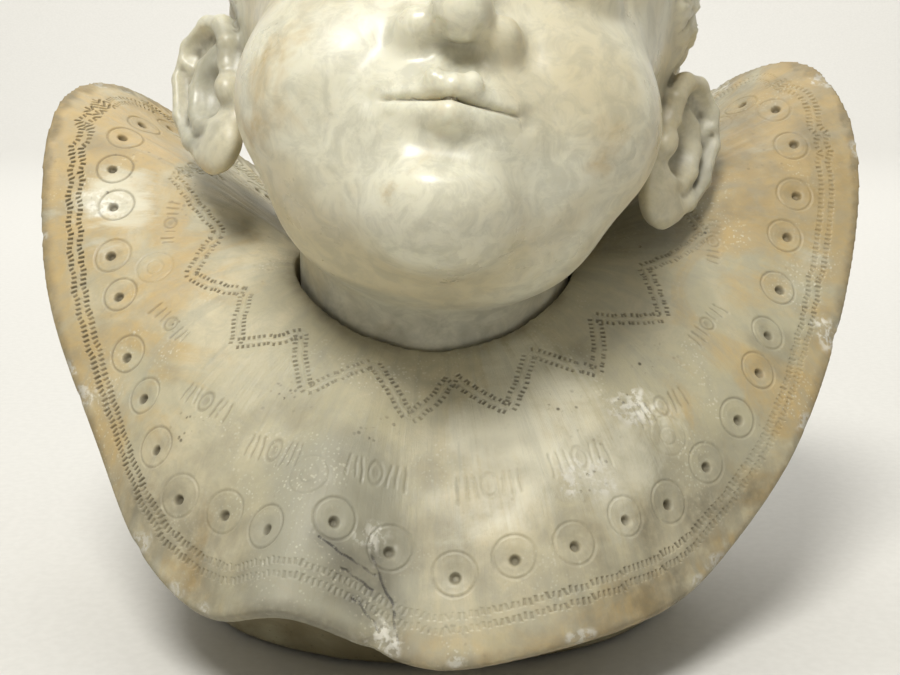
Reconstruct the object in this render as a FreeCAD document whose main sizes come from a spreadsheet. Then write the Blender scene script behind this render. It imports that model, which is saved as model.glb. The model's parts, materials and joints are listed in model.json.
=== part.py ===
"""Carved stone bust of a child in a wide embroidered cape collar.

The head with its neck, the collar block and the oval foot are three stones. Plaster beds, steel dowels
and one threaded stud with a washer and nut hold them together, and a felt pad covers the underside.
Millimetres, +Z up, the face looks towards -Y, and the origin is the middle of the felt's underside.
"""

import FreeCAD
import Part
import math
import os
import sys

import Sketcher

V = FreeCAD.Vector

# Driving dimensions: alias, value in millimetres or degrees, what it is.
SIZES = [
    ("foot_half_width", 73.0, "oval foot, half its width where it meets the felt"),
    ("foot_half_depth", 62.0, "oval foot, half its depth where it meets the felt"),
    ("foot_flare", 8.0, "how much further the foot's top reaches than its bottom"),
    ("foot_height", 18.5, "stone foot, felt and bed apart"),
    ("foot_edge", 1.2, "rounding of the foot's lower edge"),
    ("felt_thickness", 1.5, "felt pad"),
    ("felt_inset", 5.0, "felt edge inside the foot's edge"),
    ("bed_thickness", 0.8, "plaster in both stone joints"),
    ("bed_inset", 1.5, "pointing groove between the plaster's edge and the stone's"),
    ("collar_half_width", 130.0, "collar, half its width at the shoulders"),
    ("collar_front", 98.0, "collar, reach of the hem in front of the origin"),
    ("collar_back", 100.0, "collar, reach of the hem behind the origin"),
    ("shoulder_height", 160.0, "top of the hem over the right shoulder"),
    ("hem_thickness", 4.5, "stone left at the collar's edge"),
    ("fold_depth", 3.2, "height of the collar's folds near the hem"),
    ("neck_radius", 41.0, "neck where it leaves the collar"),
    ("neck_height", 100.5, "middle of the neckline above the felt's underside"),
    ("neck_forward", 5.0, "middle of the neckline in front of the origin"),
    ("neck_lean", 18.0, "lean of the neck towards the front, degrees"),
    ("neckline_side_rise", 15.5, "how far the neckline climbs beside the neck"),
    ("neckline_back_drop", 19.0, "how far the neckline falls behind the neck"),
    ("neck_taper", 3.0, "how much slimmer the neck is under the jaw"),
    ("socket_depth", 22.0, "neck socket in the collar, along the neck"),
    ("socket_gap", 0.4, "clearance round the neck in its socket"),
    ("head_width", 134.0, "head across the temples, ears and hair apart"),
    ("head_depth", 168.0, "head from forehead to nape, hair apart"),
    ("head_height", 180.0, "chin to crown, hair apart"),
    ("head_rise", 65.5, "middle of the head above the middle of the neckline"),
    ("head_shift", 6.0, "middle of the head to the side it leans to"),
    ("head_tilt", 30.0, "how far the face looks up, degrees"),
    ("head_roll", 7.0, "how far the head leans to one side, degrees"),
    ("ear_height", 52.0, "ear, top to lobe"),
    ("ear_width", 31.0, "ear, front to back"),
    ("stud_diameter", 10.0, "threaded stud between foot and collar"),
    ("stud_embed", 28.0, "stud set in the collar block"),
    ("dowel_diameter", 12.0, "neck dowel"),
    ("dowel_embed", 22.0, "neck dowel set in the collar below the socket"),
    ("dowel_reach", 34.0, "neck dowel set in the neck"),
    ("key_diameter", 6.0, "locating pins in both joints"),
    ("key_embed", 9.0, "locating pins, depth in each stone"),
    ("foot_key_spread", 46.0, "foot pins, from the middle"),
    ("neck_key_spread", 25.0, "neck pin, from the neck's axis"),
    ("set_gap", 0.25, "resin round a pin, dowel or stud, on the radius"),
    ("washer_diameter", 30.0, "washer under the nut"),
    ("washer_thickness", 2.5, "washer under the nut"),
    ("nut_flats", 17.0, "nut across its flats"),
    ("nut_height", 8.0, "nut"),
    ("nut_recess_gap", 2.0, "clearance round the washer in its recess"),
    ("nut_cover", 1.0, "nut and stud end above the felt"),
]

# Height of the recess that holds washer, nut and stud end.
NUT_STACK = "(sizes.washer_thickness + sizes.nut_height + sizes.nut_cover)"
# Height of the collar block's flat underside.
JOINT = "(sizes.felt_thickness + sizes.foot_height + sizes.bed_thickness)"

POLES_ROUND = 72  # control points round the collar
HEAD_ROUND = 96  # control points round the head
HEAD_ROWS = 54  # rows of them from crown to base
RAY_MIDDLE = (0.0, 14.0, -6.0)  # inside the head as drawn, over the neck
RAY_START = 150.0  # outside every form of the head as drawn
RAY_STEPS = 60

# The hem seen from above: angle from the front, reach, height. Angles grow towards +X.
# It is drawn for DRAWN_COLLAR and stretched to the sheet's sizes.
DRAWN_COLLAR = {"half_width": 130.0, "front": 98.0, "back": 100.0, "shoulder": 160.0}
HEM = [
    (-165, 104, 98), (-150, 111, 120), (-135, 122, 142), (-120, 130, 154),
    (-105, 128, 146), (-90, 119, 101), (-75, 105, 66), (-60, 100, 44),
    (-46, 102, 31), (-33, 104, 26), (-20, 106, 32), (-10, 99, 24),
    (0, 98, 17), (15, 100, 20), (30, 101, 24), (45, 101, 29),
    (60, 102, 40), (75, 112, 62), (90, 126, 96), (103, 139, 140),
    (115, 138, 161), (130, 130, 156), (145, 117, 132), (162, 106, 106), (180, 101, 94),
]  # fmt: skip
# Folds of the cape from neck to hem: angle from the front, half width in degrees, share of fold_depth.
FOLDS = [
    (-118, 13, 0.9), (-84, 11, 0.8), (-56, 10, 1.1), (-22, 9, 1.3), (-6, 7, -0.9), (22, 11, 1.0),
    (46, 9, -0.7), (68, 10, 0.9), (92, 9, -0.9), (112, 10, 1.0), (140, 10, -0.8), (165, 10, 1.0),
    (-165, 10, -0.7), (-140, 11, -0.8),
]  # fmt: skip

# The head as drawn, in its own frame: -Y is the face, the middle is halfway between chin and crown.
DRAWN_HEAD = {"width": 134.0, "depth": 168.0, "height": 180.0}
# Flesh: middle x, y, z, half sizes x, y, z, and the width of its blend. A form with an x is mirrored.
FLESH = [
    (0, 10, 18, 66, 74, 70, 0),  # cranium
    (0, -26, 27, 54, 50, 46, 14),  # forehead
    (0, -24, -28, 53, 46, 52, 16),  # face
    (27.5, -38, -38, 28, 28, 28, 12),  # cheek; both together reach over 0.83 of the head's width
    (0, -26, -62, 41, 38, 23, 12),  # floor of the mouth, 0.61 of the head's width at the jaw
    (0, -54, -70, 21, 19, 17, 9),  # chin
    (0, -68, -2, 6.5, 9, 17, 9),  # bridge of the nose
    (0, -76, -29, 8.5, 10, 9, 5),  # tip of the nose
    (10, -71, -33, 6.5, 8, 6, 4),  # wing of the nose
    (0, -66, -52, 21, 11, 14, 7),  # muzzle
    (21, -62, 11, 17, 8, 7, 12),  # brow
]  # fmt: skip
SOCKETS = [
    (27, -80, -6, 17, 13, 10, 9),  # eye socket
    (0, -80, -64.5, 15, 8, 3.5, 5),  # hollow between lip and chin
    (0, -81, -41, 2.6, 4, 6, 2),  # groove over the lip
    (5.5, -80, -37.5, 3, 4, 2.2, 1.5),  # nostril
]  # fmt: skip
RELIEF = [
    (27, -55.5, -7, 14.5, 13.5, 11, 2.5),  # eyeball under its lids
    (0, -73, -49.6, 15, 6, 3.4, 3),  # upper lip
    (0, -72.5, -57.2, 13, 6.5, 3.8, 3),  # lower lip
]  # fmt: skip
LINES = [
    (0, -79.5, -53.4, 18, 5, 0.9, 1.6),  # line of the mouth
    (19.5, -71, -53.4, 3, 5, 2.5, 2.5),  # corner of the mouth
    (27, -71.5, 0.5, 13, 4, 1.0, 2),  # crease of the upper lid
]  # fmt: skip
HAIRLINE = (54.0, -62.0, 0.9)  # height at the forehead, its depth, fall per millimetre going back


def make_sheet(doc):
    """The driving dimensions as cells of a spreadsheet, one alias each."""
    sheet = doc.addObject("Spreadsheet::Sheet", "sizes")
    for row, (alias, value, note) in enumerate(SIZES, start=1):
        sheet.set(f"A{row}", note)
        sheet.set(f"B{row}", str(value))
        sheet.setAlias(f"B{row}", alias)
    doc.recompute()
    return sheet


def smooth(edge0, edge1, x):
    """0 before edge0, 1 after edge1, and a smooth step between."""
    t = min(1.0, max(0.0, (x - edge0) / (edge1 - edge0)))
    return t * t * (3 - 2 * t)


def round_curve(points, angle):
    """A smooth closed curve through (angle, values...) points, read at an angle in degrees."""
    count = len(points)
    angles = [p[0] for p in points]
    turned = angle
    while turned < angles[0]:
        turned += 360
    while turned >= angles[0] + 360:
        turned -= 360
    i = max(k for k in range(count) if angles[k] <= turned)

    def knot(k):
        turns, at = divmod(k, count)
        return angles[at] + 360 * turns, points[at][1:]

    (a0, p0), (a1, p1), (a2, p2), (a3, p3) = (knot(i + k) for k in (-1, 0, 1, 2))
    t = (turned - a1) / (a2 - a1)
    values = []
    for q0, q1, q2, q3 in zip(p0, p1, p2, p3):
        m1 = (q2 - q0) / (a2 - a0) * (a2 - a1)
        m2 = (q3 - q1) / (a3 - a1) * (a2 - a1)
        values.append(
            (2 * t**3 - 3 * t**2 + 1) * q1
            + (t**3 - 2 * t**2 + t) * m1
            + (3 * t**2 - 2 * t**3) * q2
            + (t**3 - t**2) * m2
        )
    return values


def lathe_of_rows(rows):
    """A closed solid from rows of points that each run round it, its first and last row flat."""
    across, along = len(rows[0]), len(rows)
    surface = Part.BSplineSurface()
    poles = [[rows[j][i] for j in range(along)] for i in range(across)]
    surface.buildFromPolesMultsKnots(
        poles,
        [1] * (across + 1),
        [4] + [1] * (along - 4) + [4],
        list(range(across + 1)),
        list(range(along - 2)),
        True,
        False,
        3,
        3,
    )
    side = surface.toShape()
    caps = []
    for v in (0, along - 3):
        ring = surface.vIso(v).toShape()
        caps.append(Part.Face(Part.Wire([ring])))
    shell = Part.makeShell([side] + caps)
    shell.sewShape()
    solid = Part.makeSolid(Part.Shell(shell.Faces))
    if solid.Volume < 0:
        solid.reverse()
    return solid


def neck_axis(size):
    lean = math.radians(size.neck_lean)
    return V(0, -math.sin(lean), math.cos(lean))


def neck_middle(size):
    return V(0, -size.neck_forward, size.neck_height)


def joint_height(size):
    """Underside of the collar block, on top of the foot's plaster bed."""
    return size.felt_thickness + size.foot_height + size.bed_thickness


def hem_point(size, angle):
    """A point of the hem's upper edge."""
    drawn = DRAWN_COLLAR
    reach, height = round_curve(HEM, angle)
    turn = math.radians(angle)
    x = reach * math.sin(turn) * size.collar_half_width / drawn["half_width"]
    y = -reach * math.cos(turn)
    y *= size.collar_front / drawn["front"] if y < 0 else size.collar_back / drawn["back"]
    low = joint_height(size) - 4.0
    z = max(low, height * size.shoulder_height / drawn["shoulder"]) if height > 40 else height
    return V(x, y, z)


def neckline_point(size, angle, radius):
    """A point of the neckline, which climbs beside the neck and falls behind it."""
    turn = math.radians(angle)
    axis = neck_axis(size)
    front = V(0, -axis.z, axis.y)
    rise = size.neckline_side_rise * math.sin(turn) ** 2
    rise -= size.neckline_back_drop * math.sin(turn / 2) ** 2
    rise *= max(0.0, 2 * radius / size.neck_radius - 1)
    across = V(radius * math.sin(turn), 0, 0) + front * (radius * math.cos(turn))
    return neck_middle(size) + across + axis * rise


def collar_bulge(angle, share):
    """How far the cape stands above the straight line from neck to hem."""
    front = 0.5 + 0.5 * math.cos(math.radians(angle))
    side = math.sin(math.radians(angle)) ** 2
    back = (1 - front) ** 2
    return (7.0 * front + 8.0 * side * (1 - back) - 8.0 * back) * math.sin(math.pi * share)


def fold_height(size, angle, share):
    """The folds, which grow from the neck towards the hem."""
    total = 0.0
    for middle, half, height in FOLDS:
        away = (angle - middle + 180) % 360 - 180
        total += height * math.exp(-((away / half) ** 2))
    return size.fold_depth * total * smooth(0.15, 0.95, share)


def collar_rows(size):
    """Control rows of the collar block: in the socket, over the cape, round the hem and down to the foot."""
    angles = [360.0 * i / POLES_ROUND - 180 for i in range(POLES_ROUND)]
    radius = size.neck_radius
    rows = [[neckline_point(size, a, radius * share) for a in angles] for share in (0.5, 0.75, 0.95)]
    top_shares = (0.06, 0.16, 0.3, 0.44, 0.58, 0.71, 0.83, 0.92, 0.98)
    outward = []
    for a in angles:
        near, far = neckline_point(size, a, radius), hem_point(size, a)
        side = neckline_point(size, a + 4, radius) - neckline_point(size, a - 4, radius)
        up = (far - near).cross(side)
        if up.z < 0:
            up = up * -1.0
        outward.append((near, far, up.normalize()))
    for share in top_shares:
        row = []
        for a, (near, far, up) in zip(angles, outward):
            lift = collar_bulge(a, share) + fold_height(size, a, share)
            row.append(near + (far - near) * share + up * lift)
        rows.append(row)
    edge = []
    for a, (near, far, up) in zip(angles, outward):
        edge.append(far + up * fold_height(size, a, 1.0))
    rows.append(edge)
    rows.append(list(edge))
    foot = [foot_joint_point(size, a) for a in angles]
    under = []
    for top, low in zip(edge, foot):
        inward = (low - top).normalize()
        under.append(top + inward * size.hem_thickness * 0.6 + V(0, 0, -size.hem_thickness * 0.5))
    rows.append(under)
    rows.append(list(under))
    for share in (0.12, 0.3, 0.5, 0.7, 0.88):
        row = []
        for a, start, low in zip(angles, under, foot):
            end = low + V(0, 0, 3.0)
            hollow = 6.0 * math.sin(math.pi * share) * smooth(35, 90, start.z)
            point = start + (end - start) * share
            flat = V(point.x, point.y, 0)
            row.append(point - flat.normalize() * hollow)
        rows.append(row)
    rows.append([low + V(0, 0, 3.0) for low in foot])
    rows.append(foot)
    return rows


def foot_joint_point(size, angle):
    turn = math.radians(angle)
    reach = size.foot_flare - 1.0
    return V(
        (size.foot_half_width + reach) * math.sin(turn),
        -(size.foot_half_depth + reach) * math.cos(turn),
        joint_height(size),
    )


def egg_distance(x, y, z, egg):
    """Rough distance from a point to an egg-shaped form, negative inside."""
    dx, dy, dz = x - egg[0], y - egg[1], z - egg[2]
    rx, ry, rz = egg[3], egg[4], egg[5]
    inside = math.sqrt((dx / rx) ** 2 + (dy / ry) ** 2 + (dz / rz) ** 2)
    slope = math.sqrt((dx / rx**2) ** 2 + (dy / ry**2) ** 2 + (dz / rz**2) ** 2)
    return inside * (inside - 1) / slope if slope > 0 else -min(rx, ry, rz)


def blend(near, other, width):
    """The smaller of two distances, with a soft join of a given width."""
    if width <= 0:
        return min(near, other)
    join = max(width - abs(near - other), 0.0) / width
    return min(near, other) - join * join * width / 4


def head_distance(x, y, z):
    """Distance from a point to the surface of the head as drawn, negative inside."""
    x = abs(x)
    distance = 1e9
    for egg in FLESH:
        distance = blend(distance, egg_distance(x, y, z, egg), egg[6])
    for egg in SOCKETS:
        distance = -blend(-distance, egg_distance(x, y, z, egg), egg[6])
    for egg in RELIEF:
        distance = blend(distance, egg_distance(x, y, z, egg), egg[6])
    for egg in LINES:
        distance = -blend(-distance, egg_distance(x, y, z, egg), egg[6])
    return distance


def head_radius(azimuth, elevation):
    """Distance from the middle of the head to its skin, and to the hair where there is hair."""
    a, e = math.radians(azimuth), math.radians(elevation)
    dx, dy, dz = math.cos(e) * math.sin(a), -math.cos(e) * math.cos(a), math.sin(e)
    radius = RAY_START
    for _ in range(RAY_STEPS):
        gap = head_distance(radius * dx, RAY_MIDDLE[1] + radius * dy, RAY_MIDDLE[2] + radius * dz)
        if gap < 0.005:
            break
        radius -= gap * 0.7
    top, front, fall = HAIRLINE
    over = RAY_MIDDLE[2] + radius * dz - top + fall * (RAY_MIDDLE[1] + radius * dy - front)
    locks = math.cos(7 * a + 0.09 * elevation) + 0.7 * math.cos(11 * a - 0.16 * elevation + 1)
    locks *= 1 - smooth(50, 80, abs(elevation))
    thick = (5.5 + 1.1 * locks) * smooth(-64, -20, elevation)
    return radius + smooth(-3, 6, over + 2.5 * locks) * thick


def head_rows(size):
    """Control rows of the head from crown to base, close together over the face."""
    crowding, level = 16, 0.08  # how much closer the rows lie over the face, and where
    elevations = []
    for j in range(HEAD_ROWS):
        t = j / (HEAD_ROWS - 1)
        shift = math.sin(2 * math.pi * (t - level)) + math.sin(2 * math.pi * level)
        elevations.append(86 - 168 * t - crowding * shift)
    scale_x = size.head_width / DRAWN_HEAD["width"]
    scale_y = size.head_depth / DRAWN_HEAD["depth"]
    scale_z = size.head_height / DRAWN_HEAD["height"]
    turns = []
    for i in range(HEAD_ROUND):
        t = i / HEAD_ROUND
        turns.append(360 * t - 33 * math.sin(2 * math.pi * t))
    rows = []
    for e in elevations:
        lift = math.radians(e)
        half = [head_radius(a, e) for a in turns[: HEAD_ROUND // 2 + 1]]
        row = []
        for i, a in enumerate(turns):
            r, turn = half[min(i, HEAD_ROUND - i)], math.radians(a)
            flat = r * math.cos(lift)
            y = RAY_MIDDLE[1] - flat * math.cos(turn)
            z = RAY_MIDDLE[2] + r * math.sin(lift)
            row.append(V(flat * math.sin(turn) * scale_x, y * scale_y, z * scale_z))
        rows.append(row)
    for row, place in ((rows[0], 0), (rows[-1], len(rows) + 1)):
        middle = V(0, RAY_MIDDLE[1] * scale_y, sum(p.z for p in row) / len(row))
        rows.insert(place, [middle + (V(p.x, p.y, middle.z) - middle) * 0.3 for p in row])
    return rows


def head_placement(size):
    """Where the skull sits: tilted back, leaning to one side, over the neckline."""
    roll = FreeCAD.Rotation(V(0, 1, 0), size.head_roll)
    tilt = FreeCAD.Rotation(V(1, 0, 0), -size.head_tilt)
    middle = V(size.head_shift, 0, size.neck_height + size.head_rise)
    return FreeCAD.Placement(middle, roll.multiply(tilt))


def free_form(doc, name, shape, placement=None):
    """A document object for a shape that neither a sketch nor a primitive can give."""
    item = doc.addObject("Part::Feature", name)
    item.Shape = shape
    if placement is not None:
        item.Placement = placement.multiply(shape.Placement)
    return item


def bind(item, **cells):
    """Ties properties of a document object to expressions over the sheet."""
    for prop, expression in cells.items():
        item.setExpression(prop.replace("__", "."), expression)
    return item


def cylinder(doc, name, radius, height, place=None, lean=False, **more):
    """A Part::Cylinder tied to the sheet. A leaning one lies along the neck's axis."""
    item = doc.addObject("Part::Cylinder", name)
    bind(item, Radius=radius, Height=height)
    if lean:
        item.Placement = FreeCAD.Placement(V(0, 0, 0), FreeCAD.Rotation(V(1, 0, 0), 1))
        bind(item, Placement__Rotation__Angle="sizes.neck_lean * 1 deg")
    for prop, expression in zip(("x", "y", "z"), place or ()):
        bind(item, **{f"Placement__Base__{prop}": expression})
    bind(item, **more)
    return item


def oval(doc, name, half_width, half_depth, height):
    """A level ellipse tied to the sheet."""
    item = doc.addObject("Part::Ellipse", name)
    bind(item, MajorRadius=half_width, MinorRadius=half_depth, Placement__Base__z=height)
    return item


def oval_plate(doc, name, half_width, half_depth, height, thickness):
    """A flat oval plate tied to the sheet."""
    outline = oval(doc, name + "_outline", half_width, half_depth, height)
    item = doc.addObject("Part::Extrusion", name)
    item.Base = outline
    item.Dir = V(0, 0, 1)
    item.DirMode = "Custom"
    item.Solid = True
    bind(item, LengthFwd=thickness)
    return item


def cut(doc, name, base, tools):
    """base less the tools, which are fused first where there are several."""
    if len(tools) == 1:
        tool = tools[0]
    else:
        tool = doc.addObject("Part::MultiFuse", name + "_tools")
        tool.Shapes = tools
    item = doc.addObject("Part::Cut", name)
    item.Base, item.Tool = base, tool
    return item


def along_neck(distance, across="0"):
    """Expressions for a point on the neck's axis, distance above the neckline, moved sideways by across."""
    return (
        across,
        f"-sizes.neck_forward - ({distance}) * sin(sizes.neck_lean * 1 deg)",
        f"sizes.neck_height + ({distance}) * cos(sizes.neck_lean * 1 deg)",
    )


def make_foot(doc):
    """Oval foot that widens upwards, recessed below for the nut and drilled for the stud and pins."""
    low = oval(doc, "foot_bottom", "sizes.foot_half_width", "sizes.foot_half_depth", "sizes.felt_thickness")
    top = oval(
        doc,
        "foot_top",
        "sizes.foot_half_width + sizes.foot_flare",
        "sizes.foot_half_depth + sizes.foot_flare",
        "sizes.felt_thickness + sizes.foot_height",
    )
    block = doc.addObject("Part::Loft", "foot_block")
    block.Sections, block.Solid, block.Ruled = [low, top], True, True
    doc.recompute()
    rounded = doc.addObject("Part::Fillet", "foot_rounded")
    rounded.Base = block
    radius = doc.getObject("sizes").foot_edge
    lowest = [
        i + 1
        for i, edge in enumerate(block.Shape.Edges)
        if edge.BoundBox.ZMax < doc.getObject("sizes").felt_thickness + 0.01
    ]
    rounded.Edges = [(i, radius, radius) for i in lowest]
    recess = cylinder(
        doc,
        "nut_recess",
        "sizes.washer_diameter / 2 + sizes.nut_recess_gap",
        f"{NUT_STACK} + 1",
        ("0", "0", "sizes.felt_thickness - 1"),
    )
    bore = cylinder(
        doc,
        "foot_stud_bore",
        "sizes.stud_diameter / 2 + sizes.set_gap",
        "sizes.foot_height + 10",
        ("0", "0", "sizes.felt_thickness - 1"),
    )
    keys = [
        cylinder(
            doc,
            f"foot_key_bore_{side}",
            "sizes.key_diameter / 2 + sizes.set_gap",
            "sizes.key_embed + 5",
            (
                f"{sign}sizes.foot_key_spread",
                "0",
                "sizes.felt_thickness + sizes.foot_height - sizes.key_embed",
            ),
        )
        for side, sign in (("left", "-"), ("right", ""))
    ]
    return cut(doc, "foot", rounded, [recess, bore] + keys)


def make_collar(doc, size):
    """The cape collar and the block under it, socketed for the neck and drilled from below."""
    blank = free_form(doc, "collar_blank", lathe_of_rows(collar_rows(size)))
    socket = cylinder(
        doc,
        "neck_socket",
        "sizes.neck_radius + sizes.socket_gap",
        "sizes.socket_depth + 80",
        along_neck("-sizes.socket_depth"),
        lean=True,
    )
    dowel = cylinder(
        doc,
        "collar_dowel_bore",
        "sizes.dowel_diameter / 2 + sizes.set_gap",
        "sizes.dowel_embed + 5",
        along_neck("-sizes.socket_depth - sizes.dowel_embed"),
        lean=True,
    )
    key = cylinder(
        doc,
        "collar_neck_key_bore",
        "sizes.key_diameter / 2 + sizes.set_gap",
        "sizes.key_embed + 5",
        along_neck("-sizes.socket_depth - sizes.key_embed", "sizes.neck_key_spread"),
        lean=True,
    )
    stud = cylinder(
        doc,
        "collar_stud_bore",
        "sizes.stud_diameter / 2 + sizes.set_gap",
        "sizes.stud_embed + 5",
        ("0", "0", f"{JOINT} - 5"),
    )
    feet = [
        cylinder(
            doc,
            f"collar_foot_key_bore_{side}",
            "sizes.key_diameter / 2 + sizes.set_gap",
            "sizes.key_embed + 5",
            (f"{sign}sizes.foot_key_spread", "0", f"{JOINT} - 5"),
        )
        for side, sign in (("left", "-"), ("right", ""))
    ]
    return cut(doc, "collar", blank, [socket, dowel, key, stud] + feet)


def ear_shape(size, side):
    """One ear: a bent oval plate with a rim and a hollow, standing off the side of the skull."""
    tall, wide = size.ear_height / 2, size.ear_width / 2
    plate = Part.makeSphere(1)
    stretch = FreeCAD.Matrix()
    stretch.scale(4.5, wide, tall)
    plate = plate.transformGeometry(stretch)
    bowl = Part.makeSphere(1)
    stretch = FreeCAD.Matrix()
    stretch.scale(4.0, wide * 0.62, tall * 0.6)
    bowl = bowl.transformGeometry(stretch)
    bowl.translate(V(4.5 * side, -2.0, 3.0))
    ear = plate.cut(bowl)
    ear.rotate(V(0, 0, 0), V(0, 0, 1), -34.0 * side)
    ear.rotate(V(0, 0, 0), V(0, 1, 0), 12.0 * side)
    ear.rotate(V(0, 0, 0), V(1, 0, 0), -8.0)
    ear.translate(V(side * (size.head_width / 2 + 1.0), 0.06 * size.head_depth, -0.1 * size.head_height))
    return ear


def make_head(doc, size):
    """The head and neck, one stone, with the neck's lower end cut square for its socket."""
    place = head_placement(size)
    skull = free_form(doc, "skull", lathe_of_rows(head_rows(size)), place)
    ears = [free_form(doc, f"ear_{name}", ear_shape(size, s), place) for name, s in (("left", -1), ("right", 1))]
    neck = doc.addObject("Part::Cone", "neck")
    bind(
        neck,
        Radius1="sizes.neck_radius",
        Radius2="sizes.neck_radius - sizes.neck_taper",
        Height="sizes.socket_depth - sizes.bed_thickness + sizes.head_rise * 0.75",
    )
    neck.Placement = FreeCAD.Placement(V(0, 0, 0), FreeCAD.Rotation(V(1, 0, 0), 1))
    bind(neck, Placement__Rotation__Angle="sizes.neck_lean * 1 deg")
    for prop, expression in zip("xyz", along_neck("-sizes.socket_depth + sizes.bed_thickness")):
        bind(neck, **{f"Placement__Base__{prop}": expression})
    stone = doc.addObject("Part::MultiFuse", "head_stone")
    stone.Shapes = [skull, neck] + ears
    dowel = cylinder(
        doc,
        "head_dowel_bore",
        "sizes.dowel_diameter / 2 + sizes.set_gap",
        "sizes.dowel_reach + 5",
        along_neck("-sizes.socket_depth - 5"),
        lean=True,
    )
    key = cylinder(
        doc,
        "head_key_bore",
        "sizes.key_diameter / 2 + sizes.set_gap",
        "sizes.key_embed + 5",
        along_neck("-sizes.socket_depth + sizes.bed_thickness - 5", "sizes.neck_key_spread"),
        lean=True,
    )
    return cut(doc, "head", stone, [dowel, key])


def make_beds_and_felt(doc):
    """Plaster in both joints and the felt under the foot."""
    bed = oval_plate(
        doc,
        "foot_bed_plate",
        "sizes.foot_half_width + sizes.foot_flare - 1 - sizes.bed_inset",
        "sizes.foot_half_depth + sizes.foot_flare - 1 - sizes.bed_inset",
        "sizes.felt_thickness + sizes.foot_height",
        "sizes.bed_thickness",
    )
    holes = [
        cylinder(
            doc,
            f"foot_bed_hole_{name}",
            radius,
            "sizes.bed_thickness + 2",
            (across, "0", "sizes.felt_thickness + sizes.foot_height - 1"),
        )
        for name, radius, across in (
            ("stud", "sizes.stud_diameter / 2 + sizes.set_gap", "0"),
            ("left", "sizes.key_diameter / 2 + sizes.set_gap", "-sizes.foot_key_spread"),
            ("right", "sizes.key_diameter / 2 + sizes.set_gap", "sizes.foot_key_spread"),
        )
    ]
    foot_bed = cut(doc, "foot_bed", bed, holes)
    disc = cylinder(
        doc,
        "neck_bed_disc",
        "sizes.neck_radius - sizes.bed_inset",
        "sizes.bed_thickness",
        along_neck("-sizes.socket_depth"),
        lean=True,
    )
    dowel_hole = cylinder(
        doc,
        "neck_bed_dowel_hole",
        "sizes.dowel_diameter / 2 + sizes.set_gap",
        "sizes.bed_thickness + 2",
        along_neck("-sizes.socket_depth - 1"),
        lean=True,
    )
    key_hole = cylinder(
        doc,
        "neck_bed_key_hole",
        "sizes.key_diameter / 2 + sizes.set_gap",
        "sizes.bed_thickness + 2",
        along_neck("-sizes.socket_depth - 1", "sizes.neck_key_spread"),
        lean=True,
    )
    neck_bed = cut(doc, "neck_bed", disc, [dowel_hole, key_hole])
    felt = oval_plate(
        doc,
        "felt_pad",
        "sizes.foot_half_width - sizes.felt_inset",
        "sizes.foot_half_depth - sizes.felt_inset",
        "0",
        "sizes.felt_thickness",
    )
    return [foot_bed, neck_bed, felt]


def round_sketch(body, name, radii, height):
    """A level sketch of circles about the body's axis, each radius tied to the sheet."""
    plane = next(f for f in body.Origin.OriginFeatures if f.Role == "XY_Plane")
    sketch = body.newObject("Sketcher::SketchObject", name)
    sketch.AttachmentSupport = [(plane, "")]
    sketch.MapMode = "FlatFace"
    if height:
        sketch.setExpression("AttachmentOffset.Base.z", height)
    for number, radius in enumerate(radii):
        sketch.addGeometry(Part.Circle(V(0, 0, 0), V(0, 0, 1), 5.0 + number))
        sketch.addConstraint(Sketcher.Constraint("Coincident", number, 3, -1, 1))
        index = sketch.addConstraint(Sketcher.Constraint("Radius", number, 5.0 + number))
        sketch.setExpression(f"Constraints[{index}]", radius)
    return sketch


def turned_pin(doc, name, radius, length, chamfer):
    """A PartDesign body: a round bar with both ends chamfered."""
    body = doc.addObject("PartDesign::Body", name)
    sketch = round_sketch(body, name + "_circle", [radius], None)
    pad = body.newObject("PartDesign::Pad", name + "_bar")
    pad.Profile = sketch
    pad.setExpression("Length", length)
    doc.recompute()
    ends = body.newObject("PartDesign::Chamfer", name + "_ends")
    rims = [
        f"Edge{i + 1}"
        for i, edge in enumerate(pad.Shape.Edges)
        if isinstance(edge.Curve, Part.Circle)
    ]
    ends.Base = (pad, rims)
    ends.Size = chamfer
    body.Tip = ends
    return body


def along_neck_body(body, distance, across="0"):
    """Lays a body along the neck's axis."""
    body.Placement = FreeCAD.Placement(V(0, 0, 0), FreeCAD.Rotation(V(1, 0, 0), 1))
    bind(body, Placement__Rotation__Angle="sizes.neck_lean * 1 deg")
    for prop, expression in zip("xyz", along_neck(distance, across)):
        bind(body, **{f"Placement__Base__{prop}": expression})


def make_neck_fixings(doc):
    """The dowel and the key pin between neck and collar."""
    dowel = turned_pin(
        doc,
        "neck_dowel",
        "sizes.dowel_diameter / 2",
        "sizes.dowel_embed + sizes.dowel_reach - 2",
        1.0,
    )
    along_neck_body(dowel, "-sizes.socket_depth - sizes.dowel_embed + 1")
    key = turned_pin(
        doc,
        "neck_key_pin",
        "sizes.key_diameter / 2",
        "sizes.key_embed * 2 + sizes.bed_thickness - 1",
        0.6,
    )
    along_neck_body(key, "-sizes.socket_depth - sizes.key_embed + 0.5", "sizes.neck_key_spread")
    return [dowel, key]


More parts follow.
